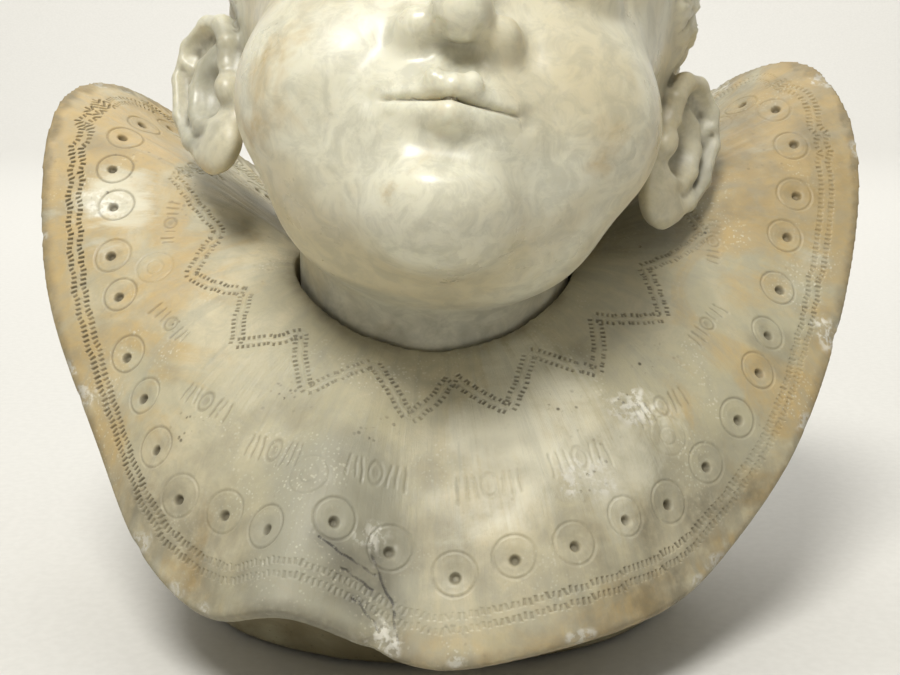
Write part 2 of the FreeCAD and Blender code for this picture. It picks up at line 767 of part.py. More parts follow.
def make_foot_fixings(doc):
    """Stud, washer and nut in the middle of the foot, and a pin on each side."""
    stud = turned_pin(
        doc,
        "base_stud",
        "sizes.stud_diameter / 2",
        f"{JOINT} + sizes.stud_embed - 1 - sizes.felt_thickness - sizes.nut_cover",
        1.0,
    )
    bind(stud, Placement__Base__z="sizes.felt_thickness + sizes.nut_cover")

    washer = doc.addObject("PartDesign::Body", "base_washer")
    rings = round_sketch(
        washer,
        "washer_rings",
        ["sizes.washer_diameter / 2", "sizes.stud_diameter / 2 + sizes.set_gap"],
        None,
    )
    plate = washer.newObject("PartDesign::Pad", "washer_plate")
    plate.Profile = rings
    plate.setExpression("Length", "sizes.washer_thickness")
    bind(washer, Placement__Base__z="sizes.felt_thickness + sizes.nut_cover + sizes.nut_height")

    hexagon = doc.addObject("Part::Prism", "nut_hexagon")
    hexagon.Polygon = 6
    bind(hexagon, Circumradius="sizes.nut_flats / sqrt(3)", Height="sizes.nut_height")
    bind(hexagon, Placement__Base__z="sizes.felt_thickness + sizes.nut_cover")
    bevel = doc.addObject("Part::Cone", "nut_bevel")
    bind(
        bevel,
        Radius1="sizes.nut_flats / 2",
        Radius2="sizes.nut_flats / 2 + sizes.nut_height * 1.7",
        Height="sizes.nut_height",
        Placement__Base__z="sizes.felt_thickness + sizes.nut_cover",
    )
    blank = doc.addObject("Part::MultiCommon", "nut_blank")
    blank.Shapes = [hexagon, bevel]
    bore = cylinder(
        doc,
        "nut_bore",
        "sizes.stud_diameter / 2 + 0.05",
        "sizes.nut_height + 4",
        ("0", "0", "sizes.felt_thickness + sizes.nut_cover - 2"),
    )
    nut = cut(doc, "base_nut", blank, [bore])

    pins = []
    for side, sign in (("left", "-"), ("right", "")):
        pin = turned_pin(
            doc,
            f"foot_key_pin_{side}",
            "sizes.key_diameter / 2",
            "sizes.key_embed * 2 + sizes.bed_thickness - 1",
            0.6,
        )
        bind(
            pin,
            Placement__Base__x=f"{sign}sizes.foot_key_spread",
            Placement__Base__z="sizes.felt_thickness + sizes.foot_height - sizes.key_embed + 0.5",
        )
        pins.append(pin)
    return [stud, washer, nut] + pins


def check_and_write(doc, pieces):
    """Stops if any object failed, then writes one STEP file per piece."""
    failed = [o.Name for o in doc.Objects if "Invalid" in o.State or "Error" in o.State]
    if failed:
        sys.exit(f"these objects failed: {failed}")
    for piece in pieces:
        shape = piece.Shape
        if shape.isNull() or not shape.isValid() or not shape.Solids:
            sys.exit(f"{piece.Label} has no valid solid")
    os.makedirs("parts", exist_ok=True)
    for piece in pieces:
        piece.Shape.exportStep(f"parts/{piece.Label}.step")
        box = piece.Shape.BoundBox
        spans = [(round(lo, 1), round(hi, 1)) for lo, hi in zip(
            (box.XMin, box.YMin, box.ZMin), (box.XMax, box.YMax, box.ZMax))]
        print(piece.Label, "volume", round(piece.Shape.Volume / 1000, 1), "cm3", spans)


def main():
    doc = FreeCAD.newDocument("bust")
    size = make_sheet(doc)
    pieces = [make_foot(doc), make_collar(doc, size), make_head(doc, size)]
    pieces += make_beds_and_felt(doc) + make_neck_fixings(doc) + make_foot_fixings(doc)
    doc.recompute()
    check_and_write(doc, pieces)


main()
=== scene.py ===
"""Carved stone bust of a child: the head, the cape collar, the foot and what holds them together.

Each stone is made as a fine mesh over the size and place that the frame gives it. Forms are laid out
in millimetres and handed to Blender in metres.
"""

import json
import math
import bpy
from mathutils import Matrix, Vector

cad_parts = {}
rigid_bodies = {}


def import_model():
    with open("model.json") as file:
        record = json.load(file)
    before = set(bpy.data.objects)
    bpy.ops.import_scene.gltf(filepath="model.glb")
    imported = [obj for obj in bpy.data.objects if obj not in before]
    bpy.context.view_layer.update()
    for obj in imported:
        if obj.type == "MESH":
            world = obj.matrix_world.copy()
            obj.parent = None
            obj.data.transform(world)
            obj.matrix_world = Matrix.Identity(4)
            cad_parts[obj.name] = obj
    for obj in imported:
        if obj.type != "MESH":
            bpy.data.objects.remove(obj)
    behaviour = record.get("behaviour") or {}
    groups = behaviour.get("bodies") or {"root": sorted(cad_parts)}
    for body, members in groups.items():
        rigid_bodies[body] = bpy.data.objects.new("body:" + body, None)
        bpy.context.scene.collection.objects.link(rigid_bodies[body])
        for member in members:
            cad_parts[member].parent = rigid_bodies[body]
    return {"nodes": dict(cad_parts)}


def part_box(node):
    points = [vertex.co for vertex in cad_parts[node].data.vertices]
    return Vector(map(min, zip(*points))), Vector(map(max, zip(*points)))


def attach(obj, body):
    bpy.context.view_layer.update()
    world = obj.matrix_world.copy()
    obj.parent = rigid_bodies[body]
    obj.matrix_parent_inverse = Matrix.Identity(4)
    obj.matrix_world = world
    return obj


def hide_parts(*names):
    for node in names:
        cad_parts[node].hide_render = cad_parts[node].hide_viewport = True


bl_info = {
    "name": "Carved Stone Child Bust",
    "version": (1, 0, 0),
    "blender": (4, 5, 0),
    "location": "View3D > Sidebar > Bust",
    "description": "Makes a carved alabaster bust of a child in a punched cape collar",
    "category": "Object",
}

import bmesh
import bpy
import numpy as np
import openvdb
from mathutils import Euler, Matrix, Vector
from mathutils.bvhtree import BVHTree

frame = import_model()

MM = 0.001
ROOT = "root"


# ---------------------------------------------------------------------------------------------
# Small shared tools
# ---------------------------------------------------------------------------------------------


def ease(value, low, high):
    """0 below low, 1 above high and a smooth step between, for arrays."""
    t = np.clip((value - low) / (high - low), 0.0, 1.0)
    return t * t * (3.0 - 2.0 * t)


def scatter(whole, seed):
    """A repeatable random number from 0 to 1 for each whole number, or row of whole numbers."""
    whole = np.asarray(whole, dtype=np.int64)
    if whole.ndim == 1:
        whole = whole[:, None]
    mixed = np.full(len(whole), seed * 7919 + 17, dtype=np.int64)
    for column, prime in zip(whole.T, (73856093, 19349663, 83492791)):
        mixed ^= column * prime
    mixed = (mixed ^ (mixed >> 13)) * 1274126177
    mixed ^= mixed >> 16
    return (mixed & 0xFFFFFF) / float(0xFFFFFF)


def rough_field(points, size, seed):
    """Smooth random values from -1 to 1, with lumps of about the given size."""
    scaled = points / size
    corner = np.floor(scaled).astype(np.int64)
    part = scaled - corner
    part = part * part * (3.0 - 2.0 * part)
    total = np.zeros(len(points))
    for dx in (0, 1):
        for dy in (0, 1):
            for dz in (0, 1):
                share = np.abs(1 - dx - part[:, 0]) * np.abs(1 - dy - part[:, 1])
                share = share * np.abs(1 - dz - part[:, 2])
                total += share * scatter(corner + (dx, dy, dz), seed)
    return total * 2.0 - 1.0


def mesh_arrays(mesh):
    """Vertex places in millimetres and unit normals."""
    count = len(mesh.vertices)
    places = np.empty(count * 3, dtype=np.float32)
    mesh.vertices.foreach_get("co", places)
    normals = np.empty(count * 3, dtype=np.float32)
    mesh.vertex_normals.foreach_get("vector", normals)
    return places.reshape(-1, 3).astype(float) / MM, normals.reshape(-1, 3).astype(float)


def set_places(mesh, places):
    """Moves the vertices to places given in millimetres."""
    mesh.vertices.foreach_set("co", (places * MM).astype(np.float32).ravel())
    mesh.update()


def set_paint(mesh, name, values):
    """Keeps one number for each vertex, for the material to read."""
    layer = mesh.attributes.new(name, "FLOAT", "POINT")
    layer.data.foreach_set("value", np.asarray(values, dtype=np.float32))


def add_piece(name, mesh, material, slot, *nodes):
    """Adds a smooth-shaded piece that rides on the bust and stands for its frame nodes."""
    for old in [o for o in bpy.data.objects if o.name == name]:
        bpy.data.objects.remove(old)
    piece = bpy.data.objects.new(name, mesh)
    bpy.context.scene.collection.objects.link(piece)
    mesh.materials.clear()
    mesh.materials.append(material)
    mesh.polygons.foreach_set("use_smooth", [True] * len(mesh.polygons))
    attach(piece, ROOT)
    if nodes:
        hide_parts(*nodes)
    return piece


def modified_mesh(mesh, kind, **settings):
    """The mesh after one modifier."""
    holder = bpy.data.objects.new("work", mesh)
    bpy.context.scene.collection.objects.link(holder)
    modifier = holder.modifiers.new(kind.lower(), kind)
    for key, value in settings.items():
        setattr(modifier, key, value)
    graph = bpy.context.evaluated_depsgraph_get()
    made = bpy.data.meshes.new_from_object(holder.evaluated_get(graph), depsgraph=graph)
    bpy.data.objects.remove(holder)
    return made


def ray_tree(mesh):
    """The mesh's faces, ready to be hit by rays."""
    return BVHTree.FromPolygons([v.co for v in mesh.vertices], [tuple(f.vertices) for f in mesh.polygons])


def refine(mesh, wanted):
    """Splits each face that has a wanted vertex, so that fine cutting has points to move."""
    work = bmesh.new()
    work.from_mesh(mesh)
    work.verts.ensure_lookup_table()
    edges = set()
    for face in work.faces:
        if any(wanted[v.index] for v in face.verts):
            edges.update(face.edges)
    bmesh.ops.subdivide_edges(work, edges=list(edges), cuts=1, use_grid_fill=True)
    work.to_mesh(mesh)
    work.free()
    mesh.update()


# ---------------------------------------------------------------------------------------------
# Settings that a user would change
# ---------------------------------------------------------------------------------------------


def colour_setting(name, description, default):
    return bpy.props.FloatVectorProperty(
        name=name, description=description, subtype="COLOR", size=3, min=0.0, max=1.0, default=default
    )


def length_setting(name, description, millimetres):
    return bpy.props.FloatProperty(
        name=name, description=description, subtype="DISTANCE", unit="LENGTH", default=millimetres * MM
    )


def count_setting(name, description, default):
    return bpy.props.IntProperty(name=name, description=description, min=1, default=default)


class BUST_PG_stone(bpy.types.PropertyGroup):
    """Colours of the stones, the grime and painted shade, and the small parts."""

    white: colour_setting("White", "Clear pale body of the head's stone", (0.66, 0.64, 0.515))
    cream: colour_setting("Cream", "Warm body of the head's stone", (0.55, 0.49, 0.335))
    ochre: colour_setting("Ochre", "Iron-stained clouds", (0.45, 0.32, 0.135))
    grey: colour_setting("Grey", "Clear greyish zones that light sinks into", (0.30, 0.29, 0.225))
    vein: colour_setting("Vein", "Dark lines in the stone", (0.085, 0.08, 0.07))
    cape: colour_setting("Cape", "Body of the collar's stone", (0.40, 0.365, 0.245))
    cape_pale: colour_setting("Cape, pale", "Pale crystalline patches of the collar", (0.62, 0.59, 0.46))
    foot: colour_setting("Foot", "Unpolished stone of the foot", (0.20, 0.165, 0.09))
    # The grime colour is dirt in pits and specks, and also painted shade round the neck, under the collar and
    # round the ears.
    grime_and_shade: colour_setting("Grime", "Old dirt in pits and corners", (0.085, 0.07, 0.04))
    plaster: colour_setting("Plaster", "Bedding in the joints", (0.62, 0.57, 0.47))
    felt: colour_setting("Felt", "Pad under the foot", (0.035, 0.045, 0.035))
    steel: colour_setting("Steel", "Pins, stud, washer and nut", (0.45, 0.45, 0.46))


class BUST_PG_carving(bpy.types.PropertyGroup):
    """Sizes of the cutting on the collar and the fineness of the meshes."""

    border_inset: length_setting("Border inset", "Middle of the punched border from the hem", 10.5)
    border_pitch: length_setting("Border pitch", "From one punched dash to the next", 1.6)
    border_row: length_setting("Border row", "From the border's middle to the middle of each row", 1.7)
    border_dash: length_setting("Dash length", "Length of a punched dash, towards the neck", 1.8)
    border_depth: length_setting("Dash depth", "Depth of a punched dash", 0.55)
    zigzag_row: length_setting("Zigzag row", "From the zigzag's middle to each row of dots", 1.5)
    zigzag_pitch: length_setting("Zigzag pitch", "From one dot to the next", 1.5)
    zigzag_teeth: count_setting("Zigzag teeth", "Points of the zigzag round the neck", 15)
    eyelet_inset: length_setting("Eyelet inset", "Middle of the eyelets from the hem", 23.5)
    eyelet_pitch: length_setting("Eyelet pitch", "From one eyelet to the next along their row", 17.5)
    sprigs: count_setting("Sprigs", "Sprigs round the neck, between zigzag and eyelets", 18)
    eyelet_radius: length_setting("Eyelet radius", "Engraved ring of an eyelet", 5.6)
    eyelet_pit: length_setting("Eyelet pit", "Drilled pit of an eyelet, its radius", 1.7)
    cloth_grid: length_setting("Collar mesh", "Size of the collar's faces before refining", 0.75)
    head_grid: length_setting("Head mesh", "Size of the head's faces before refining", 1.6)


# ---------------------------------------------------------------------------------------------
# Materials
# ---------------------------------------------------------------------------------------------


CHALK = (0.80, 0.78, 0.70)  # freshly bruised stone
FELT_FIBRE = (0.10, 0.12, 0.10)
WORN_STEEL = (0.25, 0.25, 0.26)
RUST = (0.16, 0.07, 0.03)
PAPER = ((0.61, 0.60, 0.57), (0.64, 0.63, 0.60))


class Shader:
    """A short way to write a node material."""

    def __init__(self, name):
        self.material = bpy.data.materials.new(name)
        self.material.use_nodes = True
        self.tree = self.material.node_tree
        self.surface = self.tree.nodes["Principled BSDF"]
        self.object_place = self.add("ShaderNodeTexCoord").outputs["Object"]

    def add(self, kind, **settings):
        node = self.tree.nodes.new(kind)
        for key, value in settings.items():
            setattr(node, key, value)
        return node

    def wire(self, source, target):
        if hasattr(source, "is_output"):
            self.tree.links.new(source, target)
        else:
            target.default_value = source

    def paint(self, name):
        """A number kept on the mesh for each vertex."""
        return self.add("ShaderNodeAttribute", attribute_name=name).outputs["Fac"]

    def noise(self, scale, detail=4.0, distortion=0.0, rough=0.55, place=None):
        node = self.add("ShaderNodeTexNoise")
        self.wire(place if place is not None else self.object_place, node.inputs["Vector"])
        node.inputs["Scale"].default_value = scale
        node.inputs["Detail"].default_value = detail
        node.inputs["Roughness"].default_value = rough
        node.inputs["Distortion"].default_value = distortion
        return node.outputs["Fac"]

    def cells(self, scale, feature="F1"):
        node = self.add("ShaderNodeTexVoronoi", feature=feature)
        self.wire(self.object_place, node.inputs["Vector"])
        node.inputs["Scale"].default_value = scale
        return node.outputs["Distance"]

    def stretched(self, x, y, z):
        node = self.add("ShaderNodeMapping")
        self.wire(self.object_place, node.inputs["Vector"])
        node.inputs["Scale"].default_value = (x, y, z)
        return node.outputs["Vector"]

    def sum(self, kind, first, second, third=0.0, clamp=False):
        node = self.add("ShaderNodeMath", operation=kind, use_clamp=clamp)
        for value, socket in zip((first, second, third), node.inputs):
            self.wire(value, socket)
        return node.outputs["Value"]

    def plus(self, first, second, clamp=False):
        return self.sum("ADD", first, second, clamp=clamp)

    def times(self, first, second, clamp=False):
        return self.sum("MULTIPLY", first, second, clamp=clamp)

    def window(self, value, low, high, out_low=0.0, out_high=1.0):
        node = self.add("ShaderNodeMapRange", interpolation_type="SMOOTHSTEP")
        self.wire(value, node.inputs["Value"])
        for key, number in zip(("From Min", "From Max", "To Min", "To Max"), (low, high, out_low, out_high)):
            node.inputs[key].default_value = number
        return node.outputs["Result"]

    def mix(self, share, first, second):
        node = self.add("ShaderNodeMix", data_type="RGBA")
        self.wire(share, node.inputs["Factor"])
        for value, key in ((first, "A"), (second, "B")):
            socket = next(s for s in node.inputs if s.name == key and s.type == "RGBA")
            self.wire(value if hasattr(value, "is_output") else (*value, 1.0), socket)
        return next(s for s in node.outputs if s.type == "RGBA")

    def bump(self, height, strength, distance, below=None):
        node = self.add("ShaderNodeBump")
        node.inputs["Strength"].default_value = strength
        node.inputs["Distance"].default_value = distance
        self.wire(height, node.inputs["Height"])
        if below is not None:
            self.wire(below, node.inputs["Normal"])
        return node.outputs["Normal"]

    def finish(self, colour, roughness, normal=None, **fixed):
        self.wire(colour, self.surface.inputs["Base Color"])
        self.wire(roughness, self.surface.inputs["Roughness"])
        if normal is not None:
            self.wire(normal, self.surface.inputs["Normal"])
        for key, value in fixed.items():
            self.surface.inputs[key.replace("_", " ")].default_value = value
        return self.material


def clouded_stone(stone, body, warm, stain, clear, stain_bias, clear_bias):
    """Body colour with warm drifts, ochre clouds and clear grey zones; the mesh's paint steers them."""
    drift = stone.window(stone.noise(17.0, 5.0, 0.8), 0.38, 0.66)
    colour = stone.mix(drift, body, warm)
    cloud = stone.plus(stone.noise(26.0, 7.0, 1.4, 0.6), stone.times(stone.paint("ochre"), 0.34))
    colour = stone.mix(stone.window(cloud, stain_bias, stain_bias + 0.24, 0.0, 0.85), colour, stain)
    zone = stone.plus(stone.noise(21.0, 6.0, 0.9), stone.times(stone.paint("clear"), 0.34))
    colour = stone.mix(stone.window(zone, clear_bias, clear_bias + 0.26, 0.0, 0.8), colour, clear)
    mottle = stone.window(stone.noise(140.0, 8.0, 0.6, 0.7), 0.40, 0.64, 0.0, 0.36)
    return stone.mix(mottle, colour, clear)


def head_stone():
    """Polished alabaster: light sinks into it, with ochre clouds and a soft gloss."""
    tones = bpy.context.scene.bust_stone
    stone = Shader("head_stone")
    colour = clouded_stone(stone, tones.white, tones.cream, tones.ochre, tones.grey, 0.58, 0.60)
    specks = stone.window(stone.cells(260.0), 0.02, 0.10, 0.30, 0.0)
    few = stone.window(stone.noise(60.0, 2.0), 0.62, 0.70)
    colour = stone.mix(stone.times(specks, few), colour, tones.grime_and_shade)

    # The grime paint holds dirt in the hollows and painted shade on the lower neck and round the ears.
    soil_and_shade = stone.times(stone.paint("grime_and_shade"), stone.window(stone.noise(210.0, 5.0), 0.25, 0.7, 0.45, 1.0))
    colour = stone.mix(soil_and_shade, colour, tones.grime_and_shade)
    gloss = stone.window(stone.noise(38.0, 6.0), 0.3, 0.75, 0.24, 0.42)
    gloss = stone.plus(gloss, stone.times(stone.paint("grime_and_shade"), 0.4), clamp=True)
    fine = stone.bump(stone.noise(900.0, 3.0), 0.06, 0.0004)
    skin = stone.bump(stone.noise(95.0, 3.0), 0.10, 0.0012, fine)
    return stone.finish(
        colour, gloss, skin,
        Subsurface_Weight=0.32, Subsurface_Radius=(1.0, 0.82, 0.5), Subsurface_Scale=0.012,
    )


def collar_stone():
    """Honed stone of the cape: ochre, grey and chalky patches with old dirt in the cutting."""
    tones = bpy.context.scene.bust_stone
    stone = Shader("collar_stone")
    colour = clouded_stone(stone, tones.cape, tones.cream, tones.ochre, tones.grey, 0.50, 0.55)
    combed = stone.add("ShaderNodeCombineXYZ")
    stone.wire(stone.paint("around"), combed.inputs["X"])
    stone.wire(stone.times(stone.paint("inward"), 0.07), combed.inputs["Y"])
    scratch = stone.noise(0.9, 6.0, 0.2, 0.7, combed.outputs["Vector"])
    streak = stone.plus(stone.times(stone.paint("streak"), 0.5), stone.times(scratch, 0.5))
    pale = stone.plus(stone.noise(30.0, 7.0, 0.7, 0.62), stone.times(stone.paint("pale"), 0.36))
    pale = stone.plus(pale, stone.times(stone.sum("SUBTRACT", streak, 0.5), 0.5))
    colour = stone.mix(stone.window(pale, 0.60, 0.84, 0.0, 0.85), colour, tones.cape_pale)
    dull = stone.window(streak, 0.46, 0.66, 0.0, 0.6)
    colour = stone.mix(stone.times(dull, stone.noise(45.0, 4.0)), colour, tones.grey)
    grains = stone.window(stone.cells(480.0), 0.12, 0.36, 1.0, 0.0)
    few = stone.window(stone.noise(260.0, 3.0, 0.5), 0.47, 0.56)
    thinly = stone.window(stone.noise(34.0, 4.0, 0.5), 0.55, 0.72, 0.0, 0.5)
    dotted = stone.times(few, stone.sum("MAXIMUM", thinly, stone.paint("speck")))
    colour = stone.mix(stone.times(grains, dotted), colour, tones.grime_and_shade)
    veins = stone.paint("vein")
    broken = stone.times(veins, stone.window(stone.noise(160.0, 6.0), 0.3, 0.6, 0.35, 1.0), clamp=True)
    colour = stone.mix(broken, colour, tones.vein)
    crystal = stone.window(stone.cells(900.0, "SMOOTH_F1"), 0.10, 0.32, 0.55, 0.0)
    spark = stone.times(crystal, stone.window(stone.noise(48.0, 5.0, 0.4), 0.50, 0.66))
    colour = stone.mix(spark, colour, tones.cape_pale)
    chalk = stone.times(stone.paint("bruise"), stone.window(stone.noise(520.0, 4.0), 0.42, 0.58, 0.1, 1.0))
    colour = stone.mix(chalk, colour, CHALK)
    # The grime paint holds dirt in the cutting and painted shade round the neck's foot and on the collar's
    # underside.
    soil_and_shade = stone.times(stone.paint("grime_and_shade"), stone.window(stone.noise(260.0, 5.0), 0.2, 0.65, 0.5, 1.0))
    colour = stone.mix(soil_and_shade, colour, tones.grime_and_shade)
    gloss = stone.window(stone.noise(48.0, 6.0), 0.3, 0.75, 0.40, 0.62)
    gloss = stone.plus(gloss, stone.times(stone.paint("grime_and_shade"), 0.3), clamp=True)
    fine = stone.bump(stone.noise(1100.0, 3.0), 0.18, 0.0004)
    pits = stone.bump(stone.times(grains, dotted), -0.35, 0.0006, fine)
    rubbed = stone.bump(streak, 0.30, 0.0012, pits)
    return stone.finish(
        colour, gloss, rubbed,
        Subsurface_Weight=0.15, Subsurface_Radius=(1.0, 0.8, 0.5), Subsurface_Scale=0.006,
    )


def foot_stone():
    """Sawn and rubbed stone, dark brown, in faint level bands."""
    tones = bpy.context.scene.bust_stone
    stone = Shader("foot_stone")
    bands = stone.noise(60.0, 5.0, 0.4, 0.6, stone.stretched(0.18, 0.18, 3.0))
    patches = stone.noise(32.0, 6.0, 0.8)
    colour = stone.mix(stone.window(patches, 0.35, 0.7), tones.foot, tones.cape)
    colour = stone.mix(stone.window(bands, 0.4, 0.65, 0.0, 0.6), colour, tones.foot)
    specks = stone.window(stone.cells(420.0), 0.03, 0.2, 0.5, 0.0)
    colour = stone.mix(specks, colour, tones.grime_and_shade)
    fine = stone.bump(stone.noise(800.0, 4.0), 0.3, 0.0005)
    sawn = stone.bump(bands, 0.35, 0.0010, fine)
    gloss = stone.window(patches, 0.3, 0.7, 0.5, 0.75)
    return stone.finish(colour, gloss, sawn)


def plaster():
    """Cured bedding plaster, matt and a little gritty."""
    tones = bpy.context.scene.bust_stone
    mix = Shader("plaster")
    lumps = mix.noise(180.0, 5.0)
    colour = mix.mix(mix.window(lumps, 0.3, 0.7, 0.0, 0.4), tones.plaster, tones.cape_pale)
    colour = mix.mix(mix.window(mix.cells(700.0), 0.02, 0.15, 0.5, 0.0), colour, tones.grime_and_shade)
    return mix.finish(colour, mix.window(lumps, 0.2, 0.8, 0.75, 0.95), mix.bump(lumps, 0.4, 0.0004))


def felt():
    """Pressed wool felt with loose fibres."""
    tones = bpy.context.scene.bust_stone
    wool = Shader("felt")
    fibres = wool.noise(900.0, 5.0, 2.5, 0.7)
    tufts = wool.noise(120.0, 4.0)
    colour = wool.mix(wool.window(fibres, 0.3, 0.75, 0.0, 0.6), tones.felt, FELT_FIBRE)
    colour = wool.mix(wool.window(tufts, 0.4, 0.7, 0.0, 0.35), colour, tones.grime_and_shade)
    matt, nap = wool.window(tufts, 0.3, 0.7, 0.85, 1.0), wool.bump(fibres, 0.8, 0.0006)
    return wool.finish(colour, matt, nap, Sheen_Weight=0.35)


def steel():
    """Plain turned steel with fine marks and a few brown spots."""
    tones = bpy.context.scene.bust_stone
    metal = Shader("steel")
    marks = metal.noise(300.0, 4.0, 0.0, 0.6, metal.stretched(1.0, 1.0, 9.0))
    rust = metal.window(metal.noise(90.0, 6.0, 0.6), 0.58, 0.72, 0.0, 0.6)
    colour = metal.mix(metal.window(marks, 0.3, 0.7, 0.0, 0.35), tones.steel, WORN_STEEL)
    colour = metal.mix(rust, colour, RUST)
    gloss = metal.plus(metal.window(marks, 0.3, 0.7, 0.25, 0.45), metal.times(rust, 0.5), clamp=True)
    return metal.finish(colour, gloss, metal.bump(marks, 0.2, 0.0002), Metallic=1.0)


# ---------------------------------------------------------------------------------------------
# Forms given by distance, in millimetres
# ---------------------------------------------------------------------------------------------


def egg(points, centre, sizes):
    """Distance to an egg-shaped form."""
    offset = (points - np.array(centre)) / np.array(sizes)
    inside = np.sqrt((offset**2).sum(1)) + 1e-9
    slope = np.sqrt(((offset / np.array(sizes)) ** 2).sum(1)) + 1e-9
    return inside * (inside - 1.0) / slope


def ball(points, centre, radius):
    return np.sqrt(((points - np.array(centre)) ** 2).sum(1)) - radius


def bar(points, start, end, start_radius, end_radius):
    """Distance to a round bar that may taper."""
    start, end = np.array(start, float), np.array(end, float)
    along = end - start
    share = np.clip(((points - start) @ along) / (along @ along), 0.0, 1.0)
    gap = np.sqrt(((points - start - share[:, None] * along) ** 2).sum(1))
    return gap - (start_radius + (end_radius - start_radius) * share)


def rod(points, start, end, radius):
    """Distance to a round bar with flat ends."""
    start, end = np.array(start, float), np.array(end, float)
    length = np.linalg.norm(end - start)
    axis = (end - start) / length
    along = (points - start) @ axis
    across = np.sqrt(((points - start - along[:, None] * axis) ** 2).sum(1)) - radius
    past = np.maximum(-along, along - length)
    outside = np.sqrt(np.maximum(across, 0.0) ** 2 + np.maximum(past, 0.0) ** 2)
    return outside + np.minimum(np.maximum(across, past), 0.0)


def join(first, second, softness):
    """Both forms, with a soft fillet where they meet."""
    if softness <= 0:
        return np.minimum(first, second)
    near = np.maximum(softness - np.abs(first - second), 0.0) / softness
    return np.minimum(first, second) - near * near * softness * 0.25


def carve(first, second, softness):
    """The first form less the second, with a soft edge."""
    return -join(-first, second, softness)


def arc_distance(points, chain, radii):
    """Distance to a chain of tapered bars."""
    total = None
    for (start, end), (first, last) in zip(zip(chain, chain[1:]), zip(radii, radii[1:])):
        piece = bar(points, start, end, first, last)
        total = piece if total is None else join(total, piece, 1.2)
    return total


def line_mark(distance, width):
    """1 on a line and fading to 0 away from it."""
    return np.exp(-((distance / width) ** 2))


# ---------------------------------------------------------------------------------------------
# Head
# ---------------------------------------------------------------------------------------------

# The head has its own frame: -Y is the face, the middle is halfway between chin and crown.
HEAD_MIDDLE = np.array((6.0, 0.0, 166.0))
HEAD_TURN = np.array(
    Matrix.Rotation(math.radians(7.0), 3, "Y") @ Matrix.Rotation(math.radians(-30.0), 3, "X")
)
NECK_MIDDLE = np.array((0.0, -5.0, 100.5))
NECK_LEAN = math.radians(18.0)
NECK_AXIS = np.array((0.0, -math.sin(NECK_LEAN), math.cos(NECK_LEAN)))
NECK_RADIUS = 41.0
NECK_TAPER = 3.0
NECK_REACH = 49.1
SOCKET_FLOOR = -21.2
SKULL_MIDDLE = np.array((0.0, 14.0, -6.0))
HAIRLINE = (54.0, -62.0, 0.9)  # height at the forehead, its depth, fall per millimetre going back
WHORL = (8.0, 52.0, 76.0)

EAR_MIDDLE = np.array((68.5, 10.0, -17.5))
EAR_TURN = np.array(
    Matrix.Rotation(math.radians(-8.0), 3, "X")
    @ Matrix.Rotation(math.radians(12.0), 3, "Y")
    @ Matrix.Rotation(math.radians(-35.0), 3, "Z")
)

# Usual shares for a small child: cheeks and jaw against the width of the head.
HEAD_WIDTH = 134.0
CHEEK_REACH = 0.83 * HEAD_WIDTH / 2
JAW_REACH = 0.61 * HEAD_WIDTH / 2

EYE = (27.0, -54.8, -7.0)
EYE_RADIUS = 12.4
HAIR_MASS = 4.6  # thickness of the cap under the locks
SKULL_RADIUS = 78.0  # that the locks are laid out on


def into_head(points):
    return (points - HEAD_MIDDLE) @ HEAD_TURN


def out_of_head(points):
    return points @ HEAD_TURN.T + HEAD_MIDDLE


def ear_form(points):
    """One ear, in the folded head frame: rim, inner fold, lobe, bowl and the little flap before it."""
    local = (points - EAR_MIDDLE) @ EAR_TURN
    ear = np.stack((-local[:, 1], local[:, 2], local[:, 0]), axis=1)
    form = egg(ear, (-0.5, 1, -0.8), (14.2, 23.0, 4.4))
    rim = [
        (4, 0, 1.2), (9, 4, 2.2), (11.5, 11, 2.8), (9.5, 18.5, 3.0), (2, 23, 3.0),
        (-7.5, 21, 3.2), (-13, 12.5, 3.4), (-14, 0, 3.2), (-11, -10.5, 2.4), (-6.5, -17, 1.6),
    ]  # fmt: skip
    form = join(form, arc_distance(ear, rim, (1.8, 2.4, 2.8, 3.0, 3.1, 3.2, 3.2, 3.0, 2.8, 2.6)), 3.0)
    form = join(form, egg(ear, (1.5, -19.5, 0.8), (8.2, 7.6, 4.2)), 5.0)
    form = carve(form, egg(ear, (-1.0, 17.0, 5.6), (7.0, 4.2, 4.6)), 2.2)
    form = carve(form, egg(ear, (-10.0, 4.0, 5.8), (2.4, 11.0, 3.8)), 2.0)
    fold = [
        (3.5, 13.0, 1.6), (-2.8, 11.5, 2.0), (-6.8, 5.5, 2.4),
        (-7.6, -2, 2.4), (-5, -8.5, 2.0), (0.6, -11.5, 1.8),
    ]  # fmt: skip
    form = join(form, arc_distance(ear, fold, (1.4, 2.0, 2.3, 2.4, 2.3, 2.2)), 2.4)
    form = carve(form, egg(ear, (1.6, -0.8, 4.6), (6.6, 8.6, 7.2)), 2.2)
    form = join(form, egg(ear, (9.0, -3.6, 2.4), (3.4, 4.6, 3.4)), 2.6)
    return form


